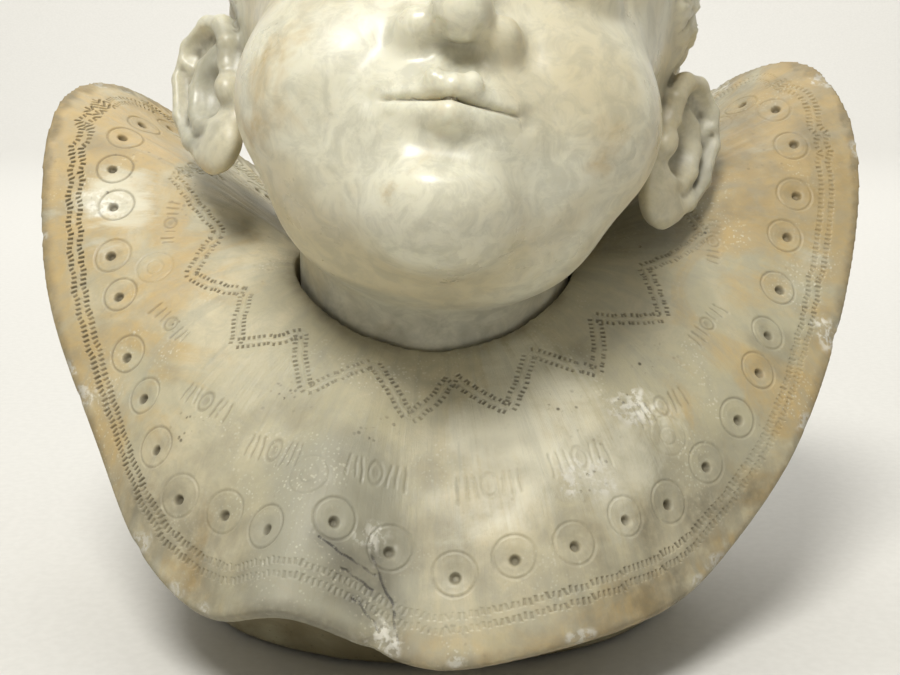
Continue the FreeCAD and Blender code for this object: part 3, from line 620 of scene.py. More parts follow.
def face_marks(points, fold_x):
    """Fine lines, as a height added to the distance: lids, brows, mouth, the groove over the lip."""
    y, z = points[:, 1], points[:, 2]
    front = ease(-y, 38.0, 52.0)
    lid = np.sqrt((fold_x - EYE[0]) ** 2 + (z + 18.0) ** 2)
    crease = line_mark(lid - 20.1, 0.95) * ease(z, -8.0, -1.0)
    crease = crease * ease(13.5 - np.abs(fold_x - EYE[0]), 0.0, 5.0)
    below = np.sqrt((fold_x - EYE[0]) ** 2 + (z - 8.0) ** 2)
    pouch = line_mark(below - 25.0, 1.8) * ease(-z, 12.0, 15.0) * ease(10.0 - np.abs(fold_x - 25.0), 0.0, 7.0)
    seam = -52.9 + 0.8 * (fold_x / 17.0) ** 2
    mouth = line_mark(z - seam, 0.75) * ease(18.5 - fold_x, 0.0, 4.0)
    groove = line_mark(fold_x, 2.4) * ease(z, -47.5, -44.5) * ease(-37.0 - z, 0.0, 4.0)
    ridge = line_mark(fold_x - 4.2, 1.4) * ease(z, -47.5, -45.0) * ease(-38.0 - z, 0.0, 4.0)
    smile = bar(points * (1, 0, 1), (15.5, 0, -33.0), (25.5, 0, -49.0), 0.0, 0.0)
    crest = 12.5 - 0.018 * (fold_x - EYE[0]) ** 2
    brow = line_mark(z - crest, 3.0) * ease(fold_x, 9.0, 14.0) * ease(44.0 - fold_x, 0.0, 12.0)
    strokes = np.cos((fold_x * 0.9 - (z - crest) * 1.1) * 2.4)
    height = 0.95 * crease + 0.30 * pouch + 1.25 * mouth + 0.75 * groove - 0.35 * ridge
    height += 0.45 * line_mark(smile, 3.4)
    height -= brow * (0.55 + 0.22 * strokes)
    return height * front


def features(p, form):
    """Nose, lips, eyes and fine lines on the front of the face."""
    fold_x = p[:, 0]
    nose = bar(p, (0, -63.5, 6), (0, -73.5, -24), 6.0, 6.2)
    nose = join(nose, ball(p, (0, -78.6, -30.6), 7.6), 5)
    nose = join(nose, egg(p, (10.2, -71.0, -33.2), (5.6, 6.6, 5.3)), 3.5)
    form = join(form, nose, 5.5)
    form = carve(form, egg(p, (5.4, -79.0, -38.2), (2.7, 4.4, 3.0)), 1.2)
    upper = bar(p, (0, -75.4, -49.2), (17.2, -67.5, -52.3), 3.2, 1.2)
    upper = join(upper, ball(p, (4.3, -75.2, -48.4), 2.9), 2.0)
    upper = join(upper, ball(p, (0, -75.8, -50.4), 2.9), 2.0)
    lower = bar(p, (0, -73.4, -56.4), (15.4, -67.6, -53.6), 4.3, 1.6)
    form = join(form, join(upper, lower, 0.6), 2.6)
    form = carve(form, egg(p, (0, -80.0, -64.6), (13.5, 8.5, 3.8)), 6)
    form = carve(form, ball(p, (19.8, -69.6, -52.4), 1.8), 3.5)
    lids = join(form, ball(p, EYE, EYE_RADIUS + 1.45), 3.0)
    opening = np.maximum(
        np.sqrt((fold_x - EYE[0]) ** 2 + (p[:, 2] + 18.2) ** 2) - 15.9,
        np.sqrt((fold_x - EYE[0]) ** 2 + (p[:, 2] - 5.2) ** 2) - 18.4,
    )
    opening = np.maximum(opening, p[:, 1] + 57.6)
    form = carve(lids, opening, 0.55)
    form = join(form, ball(p, EYE, EYE_RADIUS), 0.25)
    return join(form, egg(p, (14.9, -59.0, -9.4), (1.7, 2.2, 1.4)), 0.8) + face_marks(p, fold_x)


def head_form(points):
    """Distance to the head and neck in the head frame, without its locks."""
    fold_x = np.abs(points[:, 0])
    p = np.stack((fold_x, points[:, 1], points[:, 2]), axis=1)
    form = egg(p, (0, 10, 18), (66, 74, 70))
    form = join(form, egg(p, (0, -26, 27), (54, 50, 46)), 14)
    form = join(form, egg(p, (0, -24, -26), (53, 44.5, 50)), 16)
    form = join(form, egg(p, (CHEEK_REACH - 27.5, -39, -38), (27.5, 27.5, 27)), 12)
    form = join(form, egg(p, (0, -26, -62), (JAW_REACH, 38, 23)), 12)
    form = join(form, egg(p, (0, -55, -73), (18.5, 18.5, 14)), 10)
    form = join(form, egg(p, (0, -60, -50), (22, 13.5, 15)), 9)
    form = join(form, egg(p, (22, -59, 12), (18, 9, 6.5)), 12)
    form = carve(form, egg(p, (27, -78, -6.5), (16.5, 14.5, 9.5)), 9)
    form = carve(form, egg(p, (10, -73, -3), (4.5, 9, 9)), 6)
    front = (points[:, 1] < -34.0) & (fold_x < 52.0) & (points[:, 2] < 34.0)
    form[front] = features(p[front], form[front])
    ear = ear_gap(points)
    form = join(form, ear, 4.0)
    start = into_head((NECK_MIDDLE + NECK_AXIS * SOCKET_FLOOR)[None])[0]
    end = into_head((NECK_MIDDLE + NECK_AXIS * NECK_REACH)[None])[0]
    axis = (end - start) / np.linalg.norm(end - start)
    along = (points - start) @ axis
    across = np.sqrt((((points - start) - along[:, None] * axis) ** 2).sum(1))
    share = np.clip(along / (NECK_REACH - SOCKET_FLOOR), 0.0, 1.0)
    neck = np.maximum(across - (NECK_RADIUS - NECK_TAPER * share), along - (NECK_REACH - SOCKET_FLOOR))
    form = join(form, neck, 7.0)
    form = form - cap_thickness(points, ear)
    form = np.maximum(form, -along)
    sideways = into_head((NECK_MIDDLE + (1.0, 0.0, 0.0))[None])[0] - into_head(NECK_MIDDLE[None])[0]
    dowel = rod(points, start - axis * 4, start + axis * 33.2, 6.25)
    key = rod(points, start - axis * 4 + sideways * 25.0, start + axis * 9.0 + sideways * 25.0, 3.25)
    return np.maximum(form, -np.minimum(dowel, key))


def cap_thickness(points, ear):
    """How thick the mass of hair is over the skull, given the distance from the ears."""
    offset = points - SKULL_MIDDLE
    level = np.degrees(np.arcsin(offset[:, 2] / (np.sqrt((offset**2).sum(1)) + 1e-6)))
    top, front, fall = HAIRLINE
    over = points[:, 2] - top + fall * (points[:, 1] - front)
    over = over + 2.2 * np.sin(points[:, 0] * 0.42 + 1.0)
    over = over + 1.6 * np.sin(points[:, 2] * 0.37 - points[:, 1] * 0.21)
    return HAIR_MASS * ease(over, -3.0, 13.0) * ease(level, -62.0, -22.0) * ease(ear, 0.5, 9.0)


def ear_gap(points):
    """Distance from either ear, worked out only near them."""
    folded = np.stack((np.abs(points[:, 0]), points[:, 1], points[:, 2]), axis=1)
    gap = np.sqrt(((folded - EAR_MIDDLE) ** 2).sum(1)) - 27.0
    close = gap < 14.0
    gap[close] = ear_form(folded[close])
    return gap


def surface_mesh(form, low, high, step):
    """A mesh of quads over a form given by its distance."""
    counts = [int((b - a) / step) + 1 for a, b in zip(low, high)]
    axes = [low[i] + step * np.arange(counts[i]) for i in range(3)]
    values = np.empty(counts, dtype=np.float32)
    for i, x in enumerate(axes[0]):
        y, z = np.meshgrid(axes[1], axes[2], indexing="ij")
        sheet = np.stack((np.full(y.size, x), y.ravel(), z.ravel()), axis=1)
        values[i] = form(sheet).reshape(y.shape)
    grid = openvdb.FloatGrid()
    grid.background = 30.0
    grid.copyFromArray(values)
    points, quads = grid.convertToQuads(0.0)
    places = points.astype(float) * step + np.array(low)
    mesh = bpy.data.meshes.new("surface")
    mesh.from_pydata(places * MM, [], quads.tolist())
    mesh.update()
    corners = places[quads.astype(int)]
    normal = np.cross(corners[:, 2] - corners[:, 0], corners[:, 3] - corners[:, 1])
    if (normal * corners.mean(axis=1)).sum() < 0:
        mesh.flip_normals()
    return mesh


def settle(mesh, form, rounds):
    """Moves every vertex onto the form."""
    places, _ = mesh_arrays(mesh)
    step = 0.05
    for _ in range(rounds):
        here = form(places)
        slope = np.empty_like(places)
        for i in range(3):
            shifted = places.copy()
            shifted[:, i] += step
            slope[:, i] = (form(shifted) - here) / step
        size = np.maximum((slope**2).sum(1), 0.25)
        move = np.clip(here / size, -1.2, 1.2)
        places = places - slope * move[:, None]
    set_places(mesh, places)


def hollows(mesh, rounds):
    """How deep each vertex lies below the smoothed surface round it, in millimetres."""
    places, normals = mesh_arrays(mesh)
    ends = np.empty(len(mesh.edges) * 2, dtype=np.int32)
    mesh.edges.foreach_get("vertices", ends)
    first, second = ends[0::2], ends[1::2]
    count = len(places)
    degree = np.bincount(first, minlength=count) + np.bincount(second, minlength=count)
    smooth = places
    for _ in range(rounds):
        total = np.empty_like(smooth)
        for i in range(3):
            ahead = np.bincount(first, smooth[second, i], count)
            total[:, i] = ahead + np.bincount(second, smooth[first, i], count)
        smooth = total / degree[:, None]
    return ((smooth - places) * normals).sum(1)


def lock_paths(tree):
    """Locks of hair: each a path over the skull from the whorl outwards, with its width."""
    paths = []
    rows = 17
    for row in range(rows):
        reach = 2.0 + 158.0 * row / rows
        count = max(6, int(2 * math.pi * 62 * math.sin(min((reach + 10) / SKULL_RADIUS, 2.6)) / 7.5))
        for k in range(count):
            seed = row * 97 + k
            jitter = scatter([seed, seed + 5000, seed + 9000, seed + 13000], 3)
            angle = 2 * math.pi * (k + 0.5 * (row % 2) + 0.5 * jitter[0]) / count
            lean = np.array((math.cos(angle), math.sin(angle)))
            paths.append((reach + 6 * jitter[1], lean, 5.0 + 1.5 * jitter[2], 0.5 + 0.5 * jitter[3], seed))
    crown = np.array(WHORL) - SKULL_MIDDLE
    crown /= np.linalg.norm(crown)
    side = np.cross(crown, (1.0, 0.0, 0.0))
    side /= np.linalg.norm(side)
    other = np.cross(crown, side)
    made = []
    for reach, lean, half, curl, seed in paths:
        samples = []
        heading = math.atan2(lean[1], lean[0])
        turn = math.sin(2.0 * heading + reach / 26.0) + 0.5 * (scatter([seed], 8)[0] - 0.5)
        for step in range(13):
            arc = (reach + 2.5 * step) / SKULL_RADIUS
            bend = 0.0026 * curl * step * step / max(0.35, math.sin(min(arc, 2.4)))
            swirl = 0.55 * math.exp(-reach / 40.0) + bend * turn
            wave = 0.045 * curl * math.sin(step * 0.5 + 6.0 * curl) / max(0.35, math.sin(min(arc, 2.4)))
            turned = heading + swirl + wave
            flat = side * math.cos(turned) + other * math.sin(turned)
            ray = crown * math.cos(arc) + flat * math.sin(arc)
            start = SKULL_MIDDLE + ray * 160.0
            hit = tree.ray_cast(Vector(start * MM), Vector(-ray))[0]
            if hit is None:
                break
            samples.append(np.array(hit) / MM)
        if len(samples) > 7:
            made.append((np.array(samples), half, seed))
    return made


def lock_relief(mesh):
    """Height of the locks over the cap for each vertex."""
    places, normals = mesh_arrays(mesh)
    tree = ray_tree(mesh)
    relief = np.zeros(len(places))
    top, front, fall = HAIRLINE
    for samples, half, seed in lock_paths(tree):
        over = samples[:, 2] - top + fall * (samples[:, 1] - front)
        if over[:5].max() < -1.0:
            continue
        middle = samples.mean(axis=0)
        reach = np.sqrt(((samples - middle) ** 2).sum(1)).max() + half + 1.0
        near = np.nonzero(((places - middle) ** 2).sum(1) < reach * reach)[0]
        spots = places[near]
        best = np.full(len(near), 1e9)
        along = np.zeros(len(near))
        across = np.zeros(len(near))
        total = len(samples) - 1
        for i in range(total):
            run = samples[i + 1] - samples[i]
            share = np.clip(((spots - samples[i]) @ run) / (run @ run), 0.0, 1.0)
            offset = spots - samples[i] - share[:, None] * run
            gap = np.sqrt((offset**2).sum(1))
            sideways = (np.cross(np.broadcast_to(run, offset.shape), normals[near]) * offset).sum(1)
            closer = gap < best
            best = np.where(closer, gap, best)
            along = np.where(closer, (i + share) / total, along)
            across = np.where(closer, gap * np.sign(sideways), across)
        width = half * (0.35 + 0.65 * np.sin(np.pi * (0.12 + 0.80 * along))) * (1 - 0.6 * along**5)
        inside = np.clip(1.0 - (across / width) ** 2, 0.0, 1.0)
        strands = np.cos(2 * np.pi * across / width * 1.4 + seed)
        height = (0.4 + 2.1 * ease(along, 0.0, 0.7)) * inside**0.62
        height += 0.26 * strands * ease(inside, 0.0, 0.4)
        height += 0.35 * scatter([seed], 21)[0]
        height = np.where((inside > 0) & (best < width * 1.05), height, 0.0)
        relief[near] = np.maximum(relief[near], height)
    return relief


class BUST_OT_head(bpy.types.Operator):
    """Head and neck, one stone: a calm child's face, ears, short wavy hair and the plug of the neck"""

    bl_idname = "bust.make_head"
    bl_label = "Head"

    def execute(self, context):
        carving = context.scene.bust_carving
        step = carving.head_grid / MM
        mesh = surface_mesh(head_form, (-92, -104, -118), (92, 100, 98), step)
        settle(mesh, head_form, 3)
        mesh = modified_mesh(mesh, "SUBSURF", subdivision_type="SIMPLE", levels=1)
        settle(mesh, head_form, 2)
        places, _ = mesh_arrays(mesh)
        local = (np.abs(places) * (1, 0, 0) + places * (0, 1, 1)) - EAR_MIDDLE
        front = (places[:, 1] < -52) & (np.abs(places[:, 0]) < 46)
        front &= (places[:, 2] < 18) & (places[:, 2] > -70)
        refine(mesh, front | ((local**2).sum(1) < 30.0**2))
        settle(mesh, head_form, 2)
        relief = lock_relief(mesh)
        places, normals = mesh_arrays(mesh)
        gap = ear_gap(places)
        cap = cap_thickness(places, gap) / HAIR_MASS
        strands = rough_field(places * (1.0, 0.35, 1.0), 2.2, 7)
        relief = np.maximum(relief, 1.0 + 0.35 * strands) - 1.2
        relief = relief * ease(cap, 0.03, 0.35) * ease(gap, 1.5, 6.0)
        worn = rough_field(places, 9.0, 4) * 0.12 + rough_field(places, 3.0, 5) * 0.035
        set_places(mesh, places + normals * (relief + worn)[:, None])
        places, normals = mesh_arrays(mesh)
        hollow = hollows(mesh, 14)
        dirt = ease(hollow, 0.10, 0.55) * 0.55
        fold = np.stack((np.abs(places[:, 0]), places[:, 1], places[:, 2]), axis=1)
        ear = np.sqrt(((fold - EAR_MIDDLE) ** 2).sum(1))
        lobe = 1 - ease(ear, 22, 32)
        # Round the ears: dirt in their folds and painted shade over the whole ear.
        dirt = np.maximum(dirt, (0.22 + 0.6 * ease(hollow, 0.03, 0.35)) * lobe)
        # Painted shade: faces that look down, behind the front of the face, get ochre paint.
        under = ease(-normals[:, 2], 0.2, 0.9) * ease(places[:, 1], -40, 20)
        world = out_of_head(places)
        depth = (world - NECK_MIDDLE) @ NECK_AXIS
        # Painted shade low on the neck, darkest where it goes into the collar.
        seam = (1 - ease(depth, 2.0, 26.0)) * 0.55
        seam = seam * (0.6 + 0.4 * rough_field(places, 7.0, 6))
        set_paint(mesh, "grime_and_shade", np.clip(np.maximum(dirt, seam), 0, 1))
        chin = 1 - ease(np.sqrt(((places - (0, -62, -84)) ** 2).sum(1)), 12, 46)
        cheek = 1 - ease(np.sqrt(((fold - (46, -50, -48)) ** 2).sum(1)), 10, 34)
        set_paint(mesh, "ochre", np.clip(chin * 0.2 + cheek * 0.6 + under * 0.45, 0, 1.2) - 0.2)
        set_paint(mesh, "clear", 0.4 * rough_field(places, 42.0, 9) + 0.35 * (1 - ease(ear, 10, 30)))
        set_places(mesh, out_of_head(places))
        piece = add_piece("head_carved", mesh, head_stone(), "head_stone", "head")
        if len(piece.data.vertices) < 10000:
            raise RuntimeError("the head's mesh is too coarse")
        return {"FINISHED"}


# ---------------------------------------------------------------------------------------------
# Collar
# ---------------------------------------------------------------------------------------------

# Cracks: points on the way, each an angle from +X and a distance from the hem.
CRACKS = [
    [(253, 20), (257, 18), (261, 17)],
    [(256, 15), (261, 13)],
    [(260, 22), (264, 12), (265, 1)],
    [(258, 9), (262, 5)],
]
# Worst bruises: angle from +X, distance from the hem, radius. Two on the right breast, one on the left
# shoulder, one beside the cracks.
BRUISES = [(300, 40, 9.0), (315, 50, 8.0), (175, 20, 7.0), (260, 25, 6.0)]
CHIPS = 26  # round the hem
POCKETS = 14  # of dark pin-pricks
# How far the cutting is rubbed flat, by angle from +X.
RUBBING = [
    (140, 0.45), (155, 0.15), (185, 0.10), (215, 0.20), (235, 0.35), (248, 0.75), (270, 0.85), (286, 0.50),
    (300, 0.35), (316, 0.30), (328, 0.60), (345, 0.75), (365, 0.50), (380, 0.60), (395, 0.85), (440, 0.60),
    (480, 0.70), (500, 0.45),
]  # fmt: skip


class Near:
    """Finds the vertices near a place."""

    def __init__(self, places, cell=6.0):
        self.places = places
        self.cell = cell
        keys = np.floor(places / cell).astype(np.int64)
        self.low = keys.min(axis=0)
        keys -= self.low
        self.span = keys.max(axis=0) + 1
        flat = (keys[:, 0] * self.span[1] + keys[:, 1]) * self.span[2] + keys[:, 2]
        self.order = np.argsort(flat, kind="stable")
        self.sorted = flat[self.order]

    def around(self, middle, radius):
        low = np.floor((middle - radius) / self.cell).astype(int) - self.low
        high = np.floor((middle + radius) / self.cell).astype(int) - self.low
        found = []
        for i in range(max(0, low[0]), min(self.span[0] - 1, high[0]) + 1):
            for j in range(max(0, low[1]), min(self.span[1] - 1, high[1]) + 1):
                row = (i * self.span[1] + j) * self.span[2]
                first = row + max(0, low[2])
                last = row + min(self.span[2] - 1, high[2])
                a, b = np.searchsorted(self.sorted, (first, last + 1))
                found.append(self.order[a:b])
        if not found:
            return np.zeros(0, dtype=int)
        found = np.concatenate(found)
        gap = ((self.places[found] - middle) ** 2).sum(1)
        return found[gap < radius * radius]


class Cape:
    """The cape's upper face, read by an angle from +X and a distance from the hem."""

    centre = np.array((0.0, 0.0, 35.0))
    low, high, step = -14.0, 80.0, 0.5

    def __init__(self, mesh):
        self.tree = ray_tree(mesh)
        levels = np.radians(np.arange(self.low, self.high, self.step))
        self.rows = []
        inset_grid = []
        for degrees in range(360):
            turn = math.radians(degrees)
            row, inset, last = [], [], None
            skipped = True
            total = 0.0
            for level in levels:
                flat = math.cos(level)
                ray = np.array((flat * math.cos(turn), flat * math.sin(turn), math.sin(level)))
                start = self.centre + ray * 500.0
                hit, normal, _, _ = self.tree.ray_cast(Vector(start * MM), Vector(-ray))
                spot = None if hit is None else np.array(hit) / MM
                if spot is None or (normal.z <= 0.0 and level < 0.78 and skipped):
                    inset.append(-8.0)
                    continue
                if skipped:
                    skipped = False
                    last = spot
                gap = spot - NECK_MIDDLE
                gap = gap - (gap @ NECK_AXIS) * NECK_AXIS
                if math.sqrt(gap @ gap) < NECK_RADIUS - 0.5:
                    inset.append(total)
                    continue
                total += float(np.linalg.norm(spot - last))
                last = spot
                inset.append(total)
                row.append((total, *spot))
            self.rows.append(np.array(row))
            inset_grid.append(inset)
        self.inset_grid = np.array(inset_grid)
        self.lengths = np.array([row[-1, 0] for row in self.rows])

    def place(self, angle, inset):
        """A point on the face."""
        whole = math.floor(angle)
        share = angle - whole
        spots = []
        for row in (self.rows[whole % 360], self.rows[(whole + 1) % 360]):
            spots.append(np.array([np.interp(inset, row[:, 0], row[:, k]) for k in (1, 2, 3)]))
        return spots[0] * (1 - share) + spots[1] * share

    def length(self, angle):
        """From the hem to the neck."""
        return float(np.interp(angle % 360, np.arange(361), np.append(self.lengths, self.lengths[0])))

    def axes(self, angle, inset):
        """A point, the way along the hem, the way to the neck and the way out of the stone."""
        spot = self.place(angle, inset)
        inward = self.place(angle, inset + 1.5) - self.place(angle, max(0.0, inset - 1.5))
        inward /= np.linalg.norm(inward)
        along = self.place(angle + 1, inset) - self.place(angle - 1, inset)
        along -= (along @ inward) * inward
        along /= np.linalg.norm(along)
        out = np.cross(along, inward)
        return spot, along, inward, out if out[2] > 0 else -out

    def read(self, places):
        """Angle and distance from the hem for each place; the distance is below zero off the face."""
        offset = places - self.centre
        angle = np.degrees(np.arctan2(offset[:, 1], offset[:, 0])) % 360.0
        level = np.degrees(np.arctan2(offset[:, 2], np.hypot(offset[:, 0], offset[:, 1])))
        across = np.clip((level - self.low) / self.step, 0, self.inset_grid.shape[1] - 1.001)
        i, j = angle.astype(int) % 360, across.astype(int)
        s, t = angle - np.floor(angle), across - j
        grid, k = self.inset_grid, (i + 1) % 360
        inset = grid[i, j] * (1 - s) * (1 - t) + grid[k, j] * s * (1 - t)
        return angle, inset + grid[i, j + 1] * (1 - s) * t + grid[k, j + 1] * s * t


def walk(cape, corners, pitch):
    """Evenly spaced stops along a line of (angle, distance) corners, each with the way it runs."""
    fine = []
    for (a0, d0), (a1, d1) in zip(corners, corners[1:]):
        count = max(2, int(abs(a1 - a0) / 0.35) + int(abs(d1 - d0) / 1.0))
        fine += [(a0 + (a1 - a0) * t, d0 + (d1 - d0) * t) for t in np.arange(count) / count]
    fine.append(corners[-1])
    spots = np.array([cape.place(a, d) for a, d in fine])
    run = np.append(0.0, np.cumsum(np.sqrt(((spots[1:] - spots[:-1]) ** 2).sum(1))))
    stops = np.arange(pitch / 2, run[-1], pitch)
    flat = np.array(fine)
    angles, insets = np.interp(stops, run, flat[:, 0]), np.interp(stops, run, flat[:, 1])
    middle = np.stack([np.interp(stops, run, spots[:, k]) for k in range(3)], axis=1)
    ahead = np.stack([np.interp(stops + 0.6, run, spots[:, k]) for k in range(3)], axis=1)
    behind = np.stack([np.interp(stops - 0.6, run, spots[:, k]) for k in range(3)], axis=1)
    way = ahead - behind
    way /= np.sqrt((way**2).sum(1))[:, None] + 1e-9
    return angles, insets, middle, way


class Chisel:
    """Collects cuts into the collar's vertices and the dirt that sits in them."""

    def __init__(self, mesh):
        self.places, self.normals = mesh_arrays(mesh)
        self.near = Near(self.places)
        self.depth = np.zeros(len(self.places))
        self.dirt = np.zeros(len(self.places))

    def local(self, spot, first, second, reach):
        found = self.near.around(spot, reach)
        offset = self.places[found] - spot
        return found, offset @ first, offset @ second

    def cut(self, found, depth, dirt=0.0):
        self.depth[found] = np.maximum(self.depth[found], depth)
        if dirt > 0:
            self.dirt[found] = np.maximum(self.dirt[found], np.clip(depth / 0.35, 0, 1) * dirt)

    def dash(self, spot, first, second, half_length, half_width, depth, dirt):
        """A small punched slot, long along the first way."""
        found, a, b = self.local(spot, first, second, half_length + 1.2)
        edge = np.maximum(np.abs(a) - half_length, np.abs(b) - half_width)
        self.cut(found, depth * (1 - ease(edge, -0.30, 0.12)), dirt)

    def groove(self, spot, first, second, radius, half_width, depth, dirt):
        """A ring cut with a graver."""
        found, a, b = self.local(spot, first, second, radius + 3)
        gap = np.abs(np.hypot(a, b) - radius)
        self.cut(found, depth * (1 - ease(gap, half_width * 0.2, half_width)), dirt)


def patchy(places, low, high):
    """From 0 where the cutting is crisp to 1 where it is rubbed nearly flat, in patches of no plan."""
    return np.clip(low + (high - low) * ease(rough_field(places, 24.0, 33), -0.4, 0.6), 0.0, 1.0)


def worn_away(places):
    """From 0 where the cutting is crisp to 1 where it is rubbed nearly flat, mostly by handling."""
    angle = np.degrees(np.arctan2(places[:, 1], places[:, 0])) % 360.0
    turned = np.where(angle < RUBBING[0][0], angle + 360.0, angle)
    handled = np.interp(turned, [a for a, _ in RUBBING], [w for _, w in RUBBING])
    patches = 0.22 * rough_field(places, 30.0, 31)
    return np.clip(handled + patches + 0.18 * rough_field(places, 9.0, 32), 0.0, 1.0)


def border_lines(carving):
    """The punched border: rows of dashes either side of a plain strip, all round the hem."""
    middle, row = carving.border_inset / MM, carving.border_row / MM
    return [[(a, middle + side * row) for a in range(0, 361, 2)] for side in (-1, 1)]


def frontness(angle):
    """1 at the breast, a half at the sides and 0 behind, for an angle from +X."""
    return 0.5 - 0.5 * math.sin(math.radians(angle))


def zigzag_corners(cape, carving):
    """Corners as (angle, distance from the hem), in and out by turns, closed round the neck."""
    count = 2 * carving.zigzag_teeth
    corners = []
    for k in range(count):
        angle = 360.0 * k / count + 2.0 * (scatter([k], 15)[0] - 0.5)
        level = 0.45 + 0.36 * ease(frontness(angle), 0.1, 0.95)
        swing = 0.08 if k % 2 else -0.08
        corners.append((angle, cape.length(angle) * (level + swing)))
    first = corners[0]
    return corners + [(first[0] + 360, first[1])]


def eyelet_places(cape, carving):
    """Angle and distance from the hem of each eyelet: one row, spaced by a carver's eye."""
    inset = carving.eyelet_inset / MM
    angles = walk(cape, [(a, inset) for a in range(0, 361, 5)], 1.0)[0]
    count = round(len(angles) / (carving.eyelet_pitch / MM))
    places = []
    for k in range(count):
        odd = scatter([k, k + 100], 16)
        angle = angles[int(len(angles) * (k + 0.5) / count)]
        places.append((angle + 1.6 * (odd[0] - 0.5), inset + 5.0 * (odd[1] - 0.5)))
    return places


def faint_places(eyelets):
    """Worn rings without a pit, farther in than some of the eyelets."""
    return [(angle + 5.0, inset + 14.0) for angle, inset in eyelets[3::7]]


def sprig_places(cape, carving):
    """Angle, distance from the hem and length of the strokes of each sprig."""
    places = []
    for k in range(carving.sprigs):
        angle = 360.0 * k / carving.sprigs + 3.0 * (scatter([k], 20)[0] - 0.5)
        tall = 4.2 + 3.2 * float(ease(frontness(angle), 0.5, 1.0))
        places.append((angle, 0.5 * cape.length(angle), tall))
    return places


def cut_border(chisel, cape, carving):
    half, depth = carving.border_dash / MM / 2, carving.border_depth / MM
    for number, line in enumerate(border_lines(carving)):
        angles, insets, spots, ways = walk(cape, line, carving.border_pitch / MM)
        rubbed = worn_away(spots)
        odd = scatter(np.arange(len(spots)) + 4000 * number, 12)
        for k, (angle, inset, spot, way) in enumerate(zip(angles, insets, spots, ways)):
            _, _, inward, _ = cape.axes(angle, inset)
            fade = 1 - 0.72 * rubbed[k]
            lean = inward + way * 0.25 * (odd[k] - 0.5)
            size = half * (0.85 + 0.3 * odd[k])
            deep = depth * fade * (0.8 + 0.4 * odd[k])
            chisel.dash(spot, lean, way, size, 0.44, deep, 0.9 - 0.85 * rubbed[k])


def cut_zigzag(chisel, cape, carving):
    corners = zigzag_corners(cape, carving)
    row = carving.zigzag_row / MM
    for number, side in enumerate((-1, 1)):
        for (a0, d0), (a1, d1) in zip(corners, corners[1:]):
            angles, insets, spots, ways = walk(cape, [(a0, d0), (a1, d1)], carving.zigzag_pitch / MM)
            rubbed = patchy(spots, 0.05, 0.5) + 0.45 * ease(spots[:, 1], -15.0, 20.0)
            odd = scatter(np.arange(len(spots)) + int(a0 * 31) + 9000 * number, 14)
            for k, (angle, inset, spot, way) in enumerate(zip(angles, insets, spots, ways)):
                _, _, _, out = cape.axes(angle, inset)
                sideways = np.cross(out, way)
                middle = spot + sideways * side * row
                fade = 1 - 0.7 * rubbed[k]
                depth = 0.42 * fade * (0.8 + 0.4 * odd[k])
                chisel.dash(middle, sideways, way, 0.62 + 0.1 * odd[k], 0.42, depth, 0.85 - 0.8 * rubbed[k])
        for (a0, d0), (a1, d1) in zip(corners, corners[1:]):
            angles, insets, spots, ways = walk(cape, [(a0, d0), (a1, d1)], 1.0)
            for angle, inset, spot, way in zip(angles, insets, spots, ways):
                _, _, _, out = cape.axes(angle, inset)
                sideways = np.cross(out, way)
                chisel.dash(spot + sideways * side * 0.62, way, sideways, 0.75, 0.22, 0.16, 0.25)


def cut_eyelets(chisel, cape, carving):
    radius, pit = carving.eyelet_radius / MM, carving.eyelet_pit / MM
    eyelets = eyelet_places(cape, carving)
    for number, (angle, inset) in enumerate(eyelets):
        odd = scatter([number, number + 50, number + 90], 17)
        spot, along, inward, _ = cape.axes(angle, inset)
        size = radius * (0.94 + 0.12 * odd[0])
        found, a, b = chisel.local(spot, along, inward, size + 3)
        away = np.hypot(a, b)
        ring = 0.34 * (1 - ease(np.abs(away - size), 0.10, 0.55))
        step = 0.30 * (1 - ease(away, size - 1.6, size - 0.1))
        dish = 0.55 * (1 - ease(away, 0.5, size * 0.72))
        chisel.cut(found, ring + step * 0.6 + dish)
        chisel.dirt[found] = np.maximum(chisel.dirt[found], ring * (0.7 + 0.9 * odd[1]))
        shift_a, shift_b = 0.9 * (odd[1] - 0.5), -0.7 - 0.5 * odd[2]
        deep = np.hypot(a - shift_a, b - shift_b)
        hole = 1.4 * (1 - ease(deep, pit * 0.35, pit * 1.08))
        chisel.depth[found] += hole
        chisel.dirt[found] = np.maximum(chisel.dirt[found], (1 - ease(deep, pit * 0.5, pit * 1.2)) * 0.95)
    for angle, inset in faint_places(eyelets):
        spot, along, inward, _ = cape.axes(angle, inset)
        chisel.groove(spot, along, inward, radius, 0.5, 0.16, 0.15)
        chisel.groove(spot, along, inward, radius * 0.45, 0.6, 0.14, 0.1)


def cut_sprigs(chisel, cape, carving):
    for number, (angle, inset, tall) in enumerate(sprig_places(cape, carving)):
        spot, along, inward, _ = cape.axes(angle, inset)
        found, a, b = chisel.local(spot, along, inward, 16)
        oval = np.hypot(a / 1.9, b / (tall * 0.42))
        rim = 0.30 * (1 - ease(np.abs(oval - 1.0), 0.05, 0.32))
        chisel.cut(found, rim + 0.25 * (1 - ease(oval, 0.2, 0.9)), 0.4)
        for side in (-1, 1):
            for place in (1, 2, 3):
                odd = scatter([number * 8 + side * 3 + place + 500], 19)[0]
                middle = a - side * (1.5 + 2.2 * place + 0.8 * (odd - 0.5))
                slope = middle + 0.10 * b * side * (place - 2) + 0.12 * np.sin(b * 0.9 + 7 * odd)
                long = tall * (0.42 + 0.16 * odd)
                stroke = 1 - ease(np.abs(slope), 0.10, 0.55)
                stroke = stroke * (1 - ease(np.abs(b + odd - 0.5), long * 0.7, long * 1.1))
                chisel.cut(found, (0.24 + 0.14 * odd) * stroke, 0.42)


